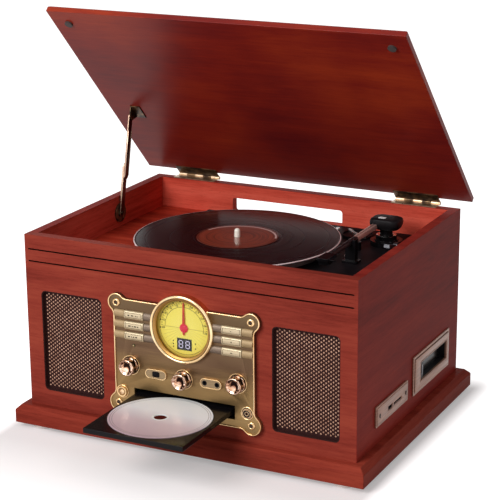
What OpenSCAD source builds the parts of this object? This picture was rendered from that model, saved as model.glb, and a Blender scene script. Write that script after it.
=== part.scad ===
// Stereo music centre: a wooden cabinet with two loudspeakers, a brass fascia with a tuning dial,
// a disc tray, a cassette slot in its right side, and a record deck under a hinged lid.
// Millimetres. X runs to the right, Y to the back and Z up. The origin lies on the table, under
// the middle of the base. The lid stands open and the disc tray is out, as when discs are changed.

/* [Cabinet] */
// Outer width of the cabinet
body_w = 430; // [420:1:460]
// Outer depth of the cabinet
body_d = 326; // [322:1:350]
// Height of the cabinet above the base
body_h = 214; // [212:1:235]
// Thickness of the cabinet's four panels
wall = 12; // [10:0.5:13]
// Depth of the record well, from the rim to the deck
well_depth = 40.5; // [39.5:0.5:44]
// Thickness of the deck board
deck_t = 6; // [4:0.5:9]
// Width of a deck batten
batten = 12; // [8:1:14]

/* [Grooves] */
// Height of a groove in the front
groove_h = 1.8; // [1:0.1:3]
// Depth of a groove
groove_depth = 2.2; // [1:0.1:4]
// Distance of the upper groove below the rim
groove_drop = 17.7; // [15:0.1:24]
// Distance between the two grooves
groove_pitch = 14.8; // [10:0.1:15]
// Length of front left plain at each end of a groove
groove_end = 4.5; // [2:0.5:12]

/* [Base] */
// How far the base stands out all round
base_over = 15; // [10:0.5:25]
// Height of the base
base_h = 23; // [18:0.5:30]
// Height and width of the slope along the base's upper edge
base_bevel = 6.5; // [3:0.5:9]
// Width of the base that the panels stand on, inside their outer face
base_seat = 20; // [16:0.5:26]
// Thickness of the bottom panel
bottom_t = 6; // [4:0.5:8]
// Width of the rebate that holds the bottom panel
rebate = 6; // [4:0.5:8]
// Height of a foot
foot_h = 6.5; // [5:0.5:12]
// Radius of a foot
foot_r = 14; // [10:0.5:18]
// Distance of a foot's centre inside the base's left or right edge
foot_inset = 30; // [20:1:45]
// Distance of a foot's centre inside the base's front or rear edge
foot_back = 19; // [17:1:45]

/* [Loudspeakers] */
// Width of a loudspeaker opening
speaker_w = 83.5; // [76:0.5:86]
// Height of a loudspeaker opening
speaker_h = 126.5; // [110:0.5:130]
// Distance of an opening's centre inside the cabinet's side
speaker_x = 62.25; // [59:0.25:65]
// Height of an opening's centre above the base
speaker_z = 83.25; // [78:0.25:86]
// Radius of an opening's corners
speaker_corner = 6; // [3:0.5:10]
// Wall of the grille's frame, which lines the opening
grille_wall = 1; // [0.8:0.1:2]
// Thickness of the grille's mesh
grille_t = 1.2; // [0.8:0.1:2.5]
// Width of a loudspeaker's square flange
driver_w = 98; // [92:0.5:99]
// Radius of a loudspeaker's cone
cone_r = 38; // [30:0.5:42]
// Depth of a loudspeaker without its magnet
basket_depth = 24; // [18:0.5:35]
// Radius of a loudspeaker's magnet
magnet_r = 26; // [20:0.5:32]
// Thickness of a magnet
magnet_t = 13; // [8:0.5:20]

/* [Fascia] */
// Width of the fascia between its necks
fascia_w = 183; // [180:0.5:188]
// Height of the fascia without its lobes
fascia_h = 135.4; // [133:0.1:139]
// Height of the fascia's lower edge above the base
fascia_z = 18.5; // [17:0.5:22]
// Thickness of the fascia's plate
fascia_t = 5; // [3.5:0.1:6]
// Radius of an upper lobe
lobe_top_r = 11.2; // [9.5:0.1:13]
// Radius of a lower lobe
lobe_low_r = 12.2; // [10:0.1:13]
// Distance of a lobe's centre inside the fascia's side
lobe_inset = 4.2; // [2:0.1:5]
// Distance of a lobe's centre inside the fascia's upper or lower edge
lobe_drop = 5.7; // [4:0.1:7]
// Radius of the hollow where a lobe meets an edge
lobe_fillet = 9; // [4:0.5:14]
// Width of the raised rim
rim_w = 1.6; // [1:0.1:2.5]
// Height of the raised rim
rim_h = 1.2; // [0.5:0.1:2]
// Radius of a fascia screw's head
screw_head_r = 4.2; // [3:0.1:5]
// Radius of a fascia screw's shank
screw_r = 1.5; // [1:0.1:2]

/* [Dial] */
// Height of the dial's centre above the fascia's lower edge
dial_up = 109.5; // [108:0.5:112]
// Outer radius of the dial's bezel
bezel_r = 41; // [39:0.5:42]
// Width of the bezel's wall
bezel_w = 4.6; // [3.5:0.1:6]
// How far the bezel stands out from the front panel
bezel_proud = 10.3; // [9:0.1:13]
// Width of the lip that holds the glass
lip_w = 2.4; // [1:0.1:3]
// Thickness of the dial plate
dial_t = 1.2; // [0.8:0.1:1.6]
// Thickness of the dial glass
glass_t = 1.2; // [0.8:0.1:2]
// Distance of the glass in front of the panel
glass_out = 4.4; // [4:0.1:5]
// Length of the pointer from its shaft
pointer_len = 31; // [24:0.5:33]
// Radius of the pointer's hub
pointer_hub_r = 4.2; // [3:0.1:6]
// Width of the channel display
display_w = 19; // [15:0.5:22]
// Height of the channel display
display_h = 14; // [10:0.5:15]
// Distance of the display's centre below the dial's centre
display_drop = 19.9; // [18:0.1:21]

/* [Buttons and knobs] */
// Length of a button
button_w = 25; // [20:0.5:26]
// Height of a button
button_h = 9.3; // [7:0.1:9.8]
// Distance of a button's centre from the middle
button_x = 63.6; // [62:0.1:66]
// Distance between the rows of buttons
button_pitch = 13; // [12.2:0.1:14]
// Height of the upper row above the dial's centre
button_up = 7.5; // [5:0.5:9]
// How far the ribs stand out
rib_h = 2.6; // [1:0.1:3.5]
// How far a button stands out past the ribs
button_proud = 0.7; // [0.3:0.1:1.5]
// Travel of a button
button_travel = 1.2; // [0.6:0.1:1.4]
// Radius of a knob
knob_r = 10.5; // [8:0.5:12]
// Length of a knob
knob_len = 12; // [9:0.5:16]
// Distance of the outer knobs from the middle
knob_x = 70; // [67:0.5:72]
// Distance of the outer knobs below the dial's centre
knob_drop = 55; // [53.5:0.5:57]
// How much lower the middle knob sits
knob_mid_drop = 6.5; // [5:0.5:8]
// Radius of a knob's shaft
shaft_r = 3; // [2.5:0.1:3.2]
// Distance of an oval plate's centre from the middle
oval_x = 36; // [34:0.5:38]
// Length of an oval plate
oval_w = 28; // [24:0.5:30]
// Height of an oval plate
oval_h = 12; // [9:0.5:14]
// Bore radius of a jack socket
jack_r = 1.8; // [1.6:0.05:2]
// Depth of a jack socket
jack_depth = 15; // [12:0.5:18]
// Radius of the power button and of the headphone socket
round_r = 6.5; // [5:0.5:7]
// Distance of the power button and the headphone socket from the middle
round_x = 82; // [80:0.5:83]
// Distance of the power button and the headphone socket below the dial's centre
round_drop = 89.5; // [88:0.5:91]
// Travel of the power button
power_travel = 1.5; // [1:0.1:1.7]

/* [Disc drive] */
// Width of the disc slot
slot_w = 132.6; // [131:0.1:136]
// Height of the disc slot
slot_h = 17; // [16:0.1:19]
// Height of the slot's lower edge above the fascia's lower edge
slot_up = 9.5; // [9:0.5:11]
// Width of the disc tray
tray_w = 126.4; // [124:0.1:128]
// Length of the disc tray
tray_len = 175; // [168:1:180]
// Thickness of the disc tray
tray_t = 6; // [4.5:0.1:7]
// How far the tray is out, past the fascia
tray_out = 119; // [100:1:122]
// Distance of the tray's underside above the slot's lower edge
tray_gap = 5.9; // [4:0.1:6]
// Radius of the compact disc
disc_r = 60; // [60:0.5:60]
// Thickness of the compact disc
disc_t = 1.2; // [1:0.1:1.5]
// Distance of the disc's centre behind the tray's front edge
disc_back = 64; // [63:0.5:66]
// Depth of the tray's recess
recess_depth = 0.9; // [0.6:0.1:1.5]
// Wall of the drive's housing
drive_wall = 1.5; // [1:0.1:2]

/* [Record deck] */
// Thickness of the turntable plate
plate_t = 2.5; // [2:0.1:4]
// Length of deck left bare at the plate's left
plate_left = 70; // [60:1:80]
// Distance of the spindle left of the middle
spindle_left = 14; // [10:0.5:16]
// Radius of the spindle
spindle_r = 3.6; // [3.4:0.05:3.6]
// Radius of the spindle's neck, where the mat and the record lie
neck_r = 3; // [2.5:0.1:3.2]
// Radius of the platter's axle in its bearing
axle_r = 5; // [4.5:0.1:6]
// Height of the spindle above the record
spindle_up = 10.7; // [8:0.1:12]
// Radius of the platter
platter_r = 110; // [95:1:115]
// Thickness of the platter's plate
platter_t = 3; // [2:0.1:4]
// Depth of the platter's skirt
skirt = 6; // [4:0.1:6]
// Gap between the turntable plate and the platter's skirt
platter_gap = 3; // [2.8:0.1:4]
// Thickness of the rubber mat
mat_t = 3; // [1.5:0.1:3.5]
// Radius of the record
record_r = 127; // [125:0.5:127]
// Thickness of the record
record_t = 1.5; // [1:0.1:2.2]
// Radius of the belt's ring under the platter
belt_ring_r = 60; // [50:1:66]
// Radius of the motor's pulley
pulley_r = 6; // [4:0.5:8]
// Distance between the platter's and the pulley's centres
motor_reach = 80; // [78:1:84]
// Radius of the deck motor
motor_r = 17; // [13:0.5:20]
// Length of the deck motor
motor_len = 25; // [18:1:35]

/* [Tonearm] */
// Distance of the arm's post from the middle
arm_x = 142; // [140:0.5:144]
// Distance of the arm's post behind the middle
arm_y = 99; // [97:0.5:102]
// Width of the arm's housing
arm_w = 38; // [34:0.5:40]
// Depth of the arm's housing
arm_d = 30; // [27:0.5:32]
// Height of the arm's housing
arm_h = 14; // [13:0.5:14.5]
// Distance of the housing's top below the rim
arm_top_drop = 3.5; // [3:0.1:5]
// Distance of the arm's tube left of its post
tube_side = 10.5; // [9:0.5:12]
// Radius of the arm's tube
tube_r = 3.2; // [2.5:0.1:3.3]
// Length of the tube in front of the post
tube_len = 145; // [140:1:148]
// Length of the headshell
shell_len = 26; // [22:0.5:28]
// Width of the headshell
shell_w = 14; // [10:0.5:16]
// Distance of the arm rest in front of the post
rest_reach = 89; // [84:1:92]
// Radius of the lift bar's arc about the post
lift_reach = 45; // [42:0.5:48]

/* [Side fittings] */
// Length of the cassette plate
cassette_w = 122; // [118:1:126]
// Height of the cassette plate
cassette_h = 49; // [45:0.5:52]
// Distance of the cassette plate's centre behind the middle
cassette_y = 67; // [64:0.5:72]
// Height of the cassette plate's centre above the base
cassette_z = 44; // [42:0.5:48]
// How far the side plates stand out
side_proud = 3; // [2:0.1:4]
// Length of the cassette opening
mouth_w = 89; // [86:0.5:92]
// Height of the cassette opening
mouth_h = 23.5; // [22:0.5:26]
// Depth of the cassette mechanism's cavity
mouth_depth = 62; // [50:1:70]
// Length of the flap over the cassette opening
flap_w = 69; // [66:0.5:69]
// Length of the card plate
card_w = 98; // [90:1:104]
// Height of the card plate
card_h = 25; // [22:0.5:28]
// Distance of the card plate's centre in front of the middle
card_y = 62; // [60:0.5:66]
// Height of the card plate's centre above the base
card_z = 35; // [32:0.5:40]

/* [Rear] */
// Width of the window above the deck in the rear panel
window_w = 157; // [140:1:170]
// Height of the window
window_h = 19.4; // [15:0.1:20]
// Distance of the window's centre left of the middle
window_left = 18.5; // [10:0.5:25]
// Distance of the window's upper edge below the rim
window_drop = 18.1; // [16:0.1:20]
// Radius of the window's corners
window_corner = 4; // [2:0.5:7]
// Width of the socket plate
socket_w = 92; // [84:1:100]
// Height of the socket plate
socket_h = 42; // [38:1:50]
// Distance of the socket plate's centre left of the middle
socket_left = 120; // [110:1:130]
// Height of the socket plate's centre above the base
socket_z = 60; // [50:1:70]
// Outer radius of a phono socket
phono_r = 4.15; // [4:0.05:4.3]
// Length of a phono socket
phono_len = 9; // [7:0.5:12]

/* [Lid] */
// Thickness of the lid
lid_t = 9; // [7:0.5:12]
// Width of the lid
lid_w = 460; // [450:1:470]
// Depth of the lid
lid_d = 340; // [338:1:345]
// Angle at which the lid stands open
lid_open = 45.57; // [40:0.01:50]
// Gap between the rim and the closed lid
lid_gap = 2.5; // [2.5:0.1:3]
// Distance of the lid's rear edge in front of the cabinet's rear face, closed
lid_back = 3; // [2:0.5:4]
// Distance of the hinge pin behind the cabinet's rear face
hinge_back = 7; // [6:0.5:9]
// Distance of a hinge's centre from the middle
hinge_x = 156; // [140:1:165]
// Length of a hinge
hinge_w = 60; // [50:1:70]
// Thickness of a hinge leaf
leaf_t = 1.1; // [0.9:0.1:1.1]
// Radius of a hinge's barrel
barrel_r = 2.6; // [2.3:0.1:3]
// Radius of a hinge's pin
pin_r = 1.2; // [0.9:0.1:1.3]
// Radius of a lid pad
pad_r = 5; // [4:0.5:7]
// Distance of a pad in front of the lid's rear edge
pad_front = 317; // [310:1:318]
// Distance of a pad's centre inside the cabinet's side
pad_x = 7; // [6:0.5:9]

/* [Lid stay] */
// Distance of the stay's foot behind the middle
stay_y = 38; // [36:0.5:40]
// Distance of the stay's foot below the rim
stay_drop = 22; // [21:0.5:23]
// Distance of the lid bracket's pivot in front of the lid's rear edge
stay_front = 135; // [133:0.5:137]
// Distance of the lid bracket's pivot below the lid
stay_down = 9; // [8.5:0.5:9.5]
// Length of the stay's upper arm
stay_upper = 70; // [68:0.5:71]
// Width of the stay's arms
stay_w = 6.5; // [5:0.5:7]
// Thickness of the stay's arms
stay_t = 1.6; // [1.2:0.1:1.8]
// Radius of the round plate at the stay's foot
rosette_r = 12.5; // [9:0.5:14]

/* [Hidden] */
$fn = 48;

// Clearances and colours
gap = 0.3;
shaft_gap = 0.05;
glue_line = 0.02;
through = 1;
wood = [0.55, 0.16, 0.12];
board_wood = [0.70, 0.56, 0.40];
brass = [0.55, 0.44, 0.28];
gold = [0.80, 0.70, 0.48];
steel = [0.72, 0.72, 0.74];
black = [0.07, 0.07, 0.08];

// Faces of the cabinet
x_side = body_w / 2;
y_face = body_d / 2;
z_case = foot_h + base_h;
z_rim = z_case + body_h;
x_in = x_side - wall;
y_in = y_face - wall;
z_deck = z_rim - well_depth;

// Draws on the front, the right side or the rear: across, up and outwards become X, Y and Z.
module on_front(x = 0, z = 0, d = 0)
  translate([x, -y_face - d, z]) rotate([90, 0, 0]) children();
module on_right(y = 0, z = 0, d = 0)
  translate([x_side + d, y, z]) rotate([90, 0, 90]) children();
module on_rear(x = 0, z = 0, d = 0)
  translate([x, y_face + d, z]) rotate([90, 0, 180]) children();
module both_sides() {
  children();
  mirror([1, 0, 0]) children();
}
module rounded(w, h, r) {
  square([w - 2 * r, h], center = true);
  square([w, h - 2 * r], center = true);
  for (sx = [-1, 1], sy = [-1, 1])
    translate([sx * (w / 2 - r), sy * (h / 2 - r)]) circle(r);
}
module capsule(w, h) {
  square([w - h, h], center = true);
  for (s = [-1, 1]) translate([s * (w - h) / 2, 0]) circle(h / 2);
}
// A block between two corners
module block(low, high) translate(low) cube(high - low);

// Base and bottom
base_x = x_side + base_over;
base_y = y_face + base_over;
z_bottom = foot_h + rebate_h();
function rebate_h() = bottom_t + 1;
seat_x = x_side - base_seat;
seat_y = y_face - base_seat;

module base_profile(half) polygon([
  [-half, 0], [half, 0], [half, base_h - base_bevel], [half - base_bevel, base_h],
  [base_bevel - half, base_h], [-half, base_h - base_bevel],
]);

module base_plinth() color(wood) translate([0, 0, foot_h]) difference() {
  intersection() {
    translate([0, base_y, 0]) rotate([90, 0, 0]) linear_extrude(2 * base_y) base_profile(base_x);
    translate([-base_x, 0, 0]) rotate([90, 0, 90]) linear_extrude(2 * base_x) base_profile(base_y);
  }
  block([-seat_x, -seat_y, -through], [seat_x, seat_y, base_h + through]);
  block([-seat_x - rebate, -seat_y - rebate, -through], [seat_x + rebate, seat_y + rebate, rebate_h()]);
}

vent_w = 4;
vent_len = 50;
vent_pitch = 10;
module bottom_panel() color(board_wood) difference() {
  block([-seat_x - rebate, -seat_y - rebate, z_bottom - bottom_t],
        [seat_x + rebate, seat_y + rebate, z_bottom]);
  for (i = [-3:3])
    translate([amp_x + i * vent_pitch, amp_y, z_bottom - bottom_t / 2])
      cube([vent_w, vent_len, bottom_t + 2 * through], center = true);
}

foot_pad_t = 1.5;
foot_pad_in = 3;
module feet() color(steel)
  for (sx = [-1, 1], sy = [-1, 1])
    translate([sx * (base_x - foot_inset), sy * (base_y - foot_back), 0]) {
      cylinder(h = foot_pad_t, r = foot_r - foot_pad_in);
      translate([0, 0, foot_pad_t]) cylinder(h = foot_h - foot_pad_t, r = foot_r);
    }

// Cabinet panels
speaker_mid_x = x_side - speaker_x;
speaker_mid_z = z_case + speaker_z;
fascia_low = z_case + fascia_z;
fascia_top = fascia_low + fascia_h;
hole_clear = 1.9;
hole_w = 2 * (button_x + button_w / 2 + hole_clear);
hole_low = fascia_low + 4;
hole_top = fascia_top - 3.4;
lobe_x = fascia_w / 2 - lobe_inset;
lobe_z = [fascia_low + lobe_drop, fascia_top - lobe_drop];
dial_z = fascia_low + dial_up;
round_z = dial_z - round_drop;
pilot_depth = 9;

rail_low = max(hole_low, speaker_mid_z - speaker_h / 2);
rail_high = min(hole_top, speaker_mid_z + speaker_h / 2);

module front_shape() difference() {
  block([-x_side, -y_face, z_case], [x_side, -y_in, z_rim]);
  both_sides() on_front(speaker_mid_x, speaker_mid_z, -wall - through)
    linear_extrude(wall + 2 * through) rounded(speaker_w, speaker_h, speaker_corner);
  block([-hole_w / 2, -y_face - through, hole_low], [hole_w / 2, through - y_in, hole_top]);
  both_sides() on_front(round_x, round_z, -wall - through)
    cylinder(h = wall + 2 * through, r = round_r + 1.5);
  for (i = [0, 1])
    translate([0, -y_face, z_rim - groove_drop - i * groove_pitch])
      cube([body_w - 2 * groove_end, 2 * groove_depth, groove_h], center = true);
  both_sides() for (z = lobe_z)
    on_front(lobe_x, z, -pilot_depth) cylinder(h = pilot_depth + through, r = screw_r);
}
// A board of the front: what lies between two heights and two distances from the left
module front_board(x, z) intersection() {
  front_shape();
  block([x[0], -y_face - through, z[0]], [x[1], through - y_in, z[1]]);
}
// The front is glued up from a rail below, a rail above and the stiles beside the openings.
module front_panel() color(wood) {
  front_board([-x_side, x_side], [z_case, rail_low - glue_line]);
  front_board([-x_side, x_side], [rail_high + glue_line, z_rim]);
  for (x = [[-x_side, -speaker_mid_x], [-speaker_mid_x, 0], [0, speaker_mid_x], [speaker_mid_x, x_side]])
    front_board(x, [rail_low, rail_high]);
}

window_mid_z = z_rim - window_drop - window_h / 2;
socket_mid_z = z_case + socket_z;
socket_lip = 5;
module rear_panel() color(wood) difference() {
  block([-x_side, y_in, z_case], [x_side, y_face, z_rim]);
  on_rear(-window_left, window_mid_z, -wall - through)
    linear_extrude(wall + 2 * through) rounded(window_w, window_h, window_corner);
  on_rear(-socket_left, socket_mid_z, -wall - through)
    linear_extrude(wall + 2 * through)
      square([socket_w - 2 * socket_lip, socket_h - 2 * socket_lip], center = true);
}

module left_panel() color(wood)
  block([-x_side, -y_in, z_case], [-x_in, y_in, z_rim]);

side_lip = 4;
cassette_mid_z = z_case + cassette_z;
card_mid_z = z_case + card_z;
module right_panel() color(wood) difference() {
  block([x_in, -y_in, z_case], [x_side, y_in, z_rim]);
  on_right(cassette_y, cassette_mid_z, -wall - through)
    linear_extrude(wall + 2 * through)
      square([cassette_w - 2 * side_lip, cassette_h - 2 * side_lip], center = true);
  on_right(-card_y, card_mid_z, -wall - through)
    linear_extrude(wall + 2 * through)
      square([card_w - 2 * side_lip, card_h - 2 * side_lip], center = true);
}

// Deck: a board on four battens, and the turntable plate on it
spindle_x = -spindle_left;
plate_x = plate_left - x_in;
z_plate = z_deck + plate_t;
motor_angle = -45;
pulley_x = spindle_x + motor_reach * cos(motor_angle);
pulley_y = motor_reach * sin(motor_angle);
bearing_wall = 3;
bearing_r = axle_r + bearing_wall;
bearing_down = 12;
module deck_board() color(wood) {
  difference() {
    block([-x_in, -y_in, z_deck - deck_t], [x_in, y_in, z_deck]);
    translate([spindle_x, 0, z_deck - deck_t - through])
      cylinder(h = deck_t + 2 * through, r = bearing_r + gap);
    translate([pulley_x, pulley_y, z_deck - deck_t - through])
      cylinder(h = deck_t + 2 * through, r = motor_r + gap);
    for (y = switch_y)
      block([switch_x - slot_half_w - 1, y - slot_half_l - 1, z_deck - deck_t - through],
            [switch_x + slot_half_w + 1, y + slot_half_l + 1, z_deck + through]);
  }
  for (s = [-1, 1]) translate([0, 0, z_deck - deck_t - batten / 2 - glue_line]) {
    translate([0, s * (y_in - batten / 2), 0]) cube([2 * x_in, batten, batten], center = true);
    translate([s * (x_in - batten / 2), 0, 0])
      cube([batten, 2 * (y_in - batten - glue_line), batten], center = true);
  }
}

motor_shaft_r = 1.2;
module turntable_plate() color(black) difference() {
  union() {
    block([plate_x, -y_in, z_deck], [x_in, y_in, z_plate]);
    translate([spindle_x, 0, z_deck - bearing_down])
      cylinder(h = bearing_down + plate_t + platter_gap - 0.8, r = bearing_r);
    adapter_seat();
  }
  translate([spindle_x, 0, z_deck - bearing_down - through])
    cylinder(h = bearing_down + 20, r = axle_r + shaft_gap);
  translate([pulley_x, pulley_y, z_deck - through])
    cylinder(h = plate_t + 2 * through, r = motor_shaft_r + 0.8);
  for (y = switch_y)
    block([switch_x - slot_half_w, y - slot_half_l, z_deck - through],
          [switch_x + slot_half_w, y + slot_half_l, z_plate + through]);
}
// Raised ring that holds the adapter for discs with a large hole
seat_r = 20;
adapter_x = arm_x - 46;
adapter_y = y_in - 33;
module adapter_seat() translate([adapter_x, adapter_y, z_plate]) difference() {
  cylinder(h = 3, r = seat_r);
  translate([0, 0, 1]) cylinder(h = 3, r = seat_r - 1.5);
}

// Loudspeakers
module speaker_grilles() color(black) both_sides() on_front(speaker_mid_x, speaker_mid_z, -wall) {
  difference() {
    linear_extrude(wall - gap)
      rounded(speaker_w - 2 * glue_line, speaker_h - 2 * glue_line, speaker_corner - glue_line);
    translate([0, 0, grille_t]) linear_extrude(wall)
      rounded(speaker_w - 2 * grille_wall, speaker_h - 2 * grille_wall, speaker_corner - grille_wall);
  }
}

flange_t = 2.5;
basket_wall = 1.4;
coil_r = 12;
module speaker_drivers() color(steel) both_sides()
  translate([speaker_mid_x, -y_in, speaker_mid_z]) rotate([-90, 0, 0]) {
    difference() {
      union() {
        linear_extrude(flange_t) rounded(driver_w, driver_w, 8);
        cylinder(h = basket_depth, r1 = cone_r + 2 + basket_wall, r2 = coil_r + 10);
      }
      translate([0, 0, -through]) cylinder(h = flange_t + through, r = cone_r);
      translate([0, 0, flange_t])
        cylinder(h = basket_depth - 2 * flange_t, r1 = cone_r, r2 = coil_r + 7);
      cylinder(h = basket_depth + through, r = coil_r);
    }
    difference() {
      translate([0, 0, basket_depth]) cylinder(h = magnet_t, r = magnet_r);
      translate([0, 0, basket_depth - through]) cylinder(h = magnet_t / 2 + through, r = coil_r);
    }
    rotate_extrude() polygon([
      [0, basket_depth - 5], [coil_r - 2, basket_depth - 5], [coil_r - 1, basket_depth + 4],
      [coil_r - 0.2, basket_depth + 4], [coil_r, basket_depth - 8], [cone_r, flange_t],
      [cone_r, flange_t - 1], [cone_r - 3, flange_t - 1], [coil_r - 1, basket_depth - 9],
      [0, basket_depth - 9],
    ]);
  }

// Fascia
board_back = 17;
board_t = 1.6;
post_x = 46.5;
post_z = [dial_z - 42.5, dial_z + 16.5];
post_r = 3;
led_x = -65.4;
led_z = dial_z - 30.1;
led_r = 1.45;
knob_places = [
  [-knob_x, dial_z - knob_drop], [0, dial_z - knob_drop - knob_mid_drop], [knob_x, dial_z - knob_drop],
];
oval_z = dial_z - knob_drop - knob_mid_drop + 0.5;
jack_pitch = 16;
window_hole_w = 10;
window_hole_h = 7;
slot_low = fascia_low + slot_up;
drive_side = 4.7;
drive_w = slot_w + 2 * drive_side;
button_rows = [for (i = [0:2]) dial_z + button_up - i * button_pitch];
rib_w = button_h + 0.2;
collar_h = 1;

module fascia_outline() offset(r = -lobe_fillet) offset(r = lobe_fillet) {
  translate([-fascia_w / 2, fascia_low]) square([fascia_w, fascia_h]);
  for (sx = [-1, 1]) {
    translate([sx * lobe_x, lobe_z[0]]) circle(lobe_low_r);
    translate([sx * lobe_x, lobe_z[1]]) circle(lobe_top_r);
  }
}
// A half-round bar along X, w high and standing h out
module half_round(len, w, h) {
  r = (w * w / 4 + h * h) / (2 * h);
  translate([-len / 2, 0, 0]) rotate([90, 0, 90]) linear_extrude(len) intersection() {
    translate([0, h - r]) circle(r);
    translate([-w / 2, 0]) square([w, h]);
  }
}
rib_reach = fascia_w / 2 - 1.5;
module fascia() color(brass) difference() {
  union() {
    on_front() linear_extrude(fascia_t) fascia_outline();
    on_front(0, 0, fascia_t) linear_extrude(rim_h) difference() {
      fascia_outline();
      offset(delta = -rim_w) fascia_outline();
    }
    for (sx = [-1, 1], z = button_rows)
      on_front(sx * (rib_reach + 30) / 2, z, fascia_t) half_round(rib_reach - 30, rib_w, rib_h);
    for (k = knob_places)
      on_front(k[0], k[1], fascia_t) cylinder(h = collar_h, r = knob_r + 1.5);
    for (s = [-1, 1]) {
      on_front(s * oval_x, oval_z, fascia_t) linear_extrude(1.8) capsule(oval_w, oval_h);
      on_front(s * round_x, round_z, fascia_t) cylinder(h = collar_h, r = round_r + 1.6);
      for (z = post_z) on_front(s * post_x, z, -board_back) cylinder(h = board_back + 1, r = post_r);
    }
  }
  on_front(0, dial_z, -through) cylinder(h = fascia_t + 10, r = bezel_r + 0.15);
  for (sx = [-1, 1], z = button_rows)
    on_front(sx * button_x, z, -through)
      linear_extrude(fascia_t + 10) square([button_w + 0.8, button_h + 0.8], center = true);
  for (k = knob_places) {
    on_front(k[0], k[1], -through) cylinder(h = fascia_t + 10, r = shaft_r + 0.5);
    on_front(k[0], k[1], fascia_t) cylinder(h = 10, r = knob_r + 0.5);
  }
  on_front(-round_x, round_z, -through) cylinder(h = fascia_t + 10, r = round_r + gap);
  on_front(round_x, round_z, -through) cylinder(h = fascia_t + 10, r = round_r);
  on_front(led_x, led_z, -through) cylinder(h = fascia_t + 10, r = led_r);
  on_front(-oval_x, oval_z, -through)
    linear_extrude(fascia_t + 10) square([window_hole_w, window_hole_h], center = true);
  for (s = [-1, 1])
    on_front(oval_x + s * jack_pitch / 2, oval_z, -through) cylinder(h = fascia_t + 10, r = jack_r + 1.2);
  translate([-slot_w / 2, -y_face - fascia_t - 5, slot_low]) cube([slot_w, fascia_t + 10, slot_h]);
  for (sx = [-1, 1], z = lobe_z)
    on_front(sx * lobe_x, z, -through) cylinder(h = fascia_t + 10, r = screw_r);
}

head_t = 1.8;
module fascia_screws() color(gold) for (sx = [-1, 1], z = lobe_z)
  on_front(sx * lobe_x, z, 0) difference() {
    union() {
      translate([0, 0, -pilot_depth + 1]) cylinder(h = pilot_depth + fascia_t - 1, r = screw_r);
      translate([0, 0, fascia_t]) cylinder(h = head_t, r1 = screw_head_r, r2 = screw_head_r - 0.8);
    }
    translate([0, 0, fascia_t + head_t]) {
      cube([4.5, 1, 1.6], center = true);
      cube([1, 4.5, 1.6], center = true);
    }
  }

// Dial
dial_in_r = bezel_r - bezel_w;
module dial_bezel() color(gold) on_front(0, dial_z) rotate_extrude() polygon([
  [dial_in_r, 0], [bezel_r, 0], [bezel_r, bezel_proud - 1.7], [bezel_r - 1.2, bezel_proud],
  [bezel_r - 3.2, bezel_proud], [dial_in_r - lip_w, glass_out + glass_t + 2],
  [dial_in_r - lip_w, glass_out + glass_t], [dial_in_r, glass_out + glass_t],
]);
pointer_shaft_r = 1;
display_z = dial_z - display_drop;
module dial_plate() color([0.95, 0.88, 0.42]) difference() {
  on_front(0, dial_z) cylinder(h = dial_t, r = dial_in_r);
  on_front(0, dial_z, -through) cylinder(h = dial_t + 2 * through, r = pointer_shaft_r + shaft_gap);
  on_front(0, display_z, -through)
    linear_extrude(dial_t + 2 * through) square([display_w, display_h], center = true);
}
module dial_glass() color([0.9, 0.95, 1, 0.3])
  on_front(0, dial_z, glass_out) cylinder(h = glass_t, r = dial_in_r);
pointer_t = 1.1;
module dial_pointer() color([0.75, 0.08, 0.08]) on_front(0, dial_z, dial_t + 1) {
  cylinder(h = pointer_t, r = pointer_hub_r);
  linear_extrude(pointer_t - 0.3) polygon([[-1.3, 0], [1.3, 0], [0.5, pointer_len], [-0.5, pointer_len]]);
  translate([0, 0, -board_back - dial_t + 1]) cylinder(h = board_back + dial_t - 1, r = pointer_shaft_r);
}

// Sockets, buttons and knobs on the front
module front_jacks() color(steel) {
  on_front(round_x, round_z, -board_back) difference() {
    union() {
      cylinder(h = board_back, r = round_r - 2);
      translate([0, 0, board_back]) cylinder(h = fascia_t + 2.5, r = round_r);
    }
    translate([0, 0, board_back + fascia_t + 2.5 - jack_depth])
      cylinder(h = jack_depth + through, r = jack_r);
  }
  for (s = [-1, 1])
    on_front(oval_x + s * jack_pitch / 2, oval_z, -board_back) difference() {
      cylinder(h = board_back + fascia_t + 1.8, r = jack_r + 1.2);
      translate([0, 0, board_back + fascia_t + 1.8 - jack_depth])
        cylinder(h = jack_depth + through, r = jack_r);
    }
}
switch_top = 9.8;
button_back = 8;
module power_button() color(gold) on_front(-round_x, round_z, -button_back) difference() {
  cylinder(h = button_back + fascia_t + 3, r = round_r);
  translate([0, 0, button_back + fascia_t + 2.2]) cylinder(h = 2, r = round_r - 1.8);
}
module button(side, row) color(gold) on_front(side * button_x, button_rows[row]) {
  translate([0, 0, (fascia_t - button_back) / 2])
    cube([button_w, button_h, fascia_t + button_back], center = true);
  translate([0, 0, fascia_t]) half_round(button_w, button_h, rib_h + button_proud);
}
module button_left_top() button(-1, 0);
module button_left_middle() button(-1, 1);
module button_left_low() button(-1, 2);
module button_right_top() button(1, 0);
module button_right_middle() button(1, 1);
module button_right_low() button(1, 2);

module knob(place) color(gold) on_front(place[0], place[1], fascia_t + gap) {
  rotate_extrude() polygon([
    [0, 0], [knob_r, 0], [knob_r, 2.4], [knob_r - 1.2, 3.2], [knob_r - 1.2, knob_len - 2.6],
    [knob_r - 0.5, knob_len - 1.8], [knob_r - 0.5, knob_len - 0.6], [knob_r - 1.1, knob_len],
    [knob_r - 2.2, knob_len], [knob_r - 3, knob_len - 0.8], [0, knob_len - 0.8],
  ]);
  translate([0, 0, 0.5 - board_back - fascia_t - gap])
    cylinder(h = board_back + fascia_t + gap, r = shaft_r);
}
module volume_knob() knob(knob_places[0]);
module mode_knob() knob(knob_places[1]);
module tuning_knob() knob(knob_places[2]);

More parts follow.
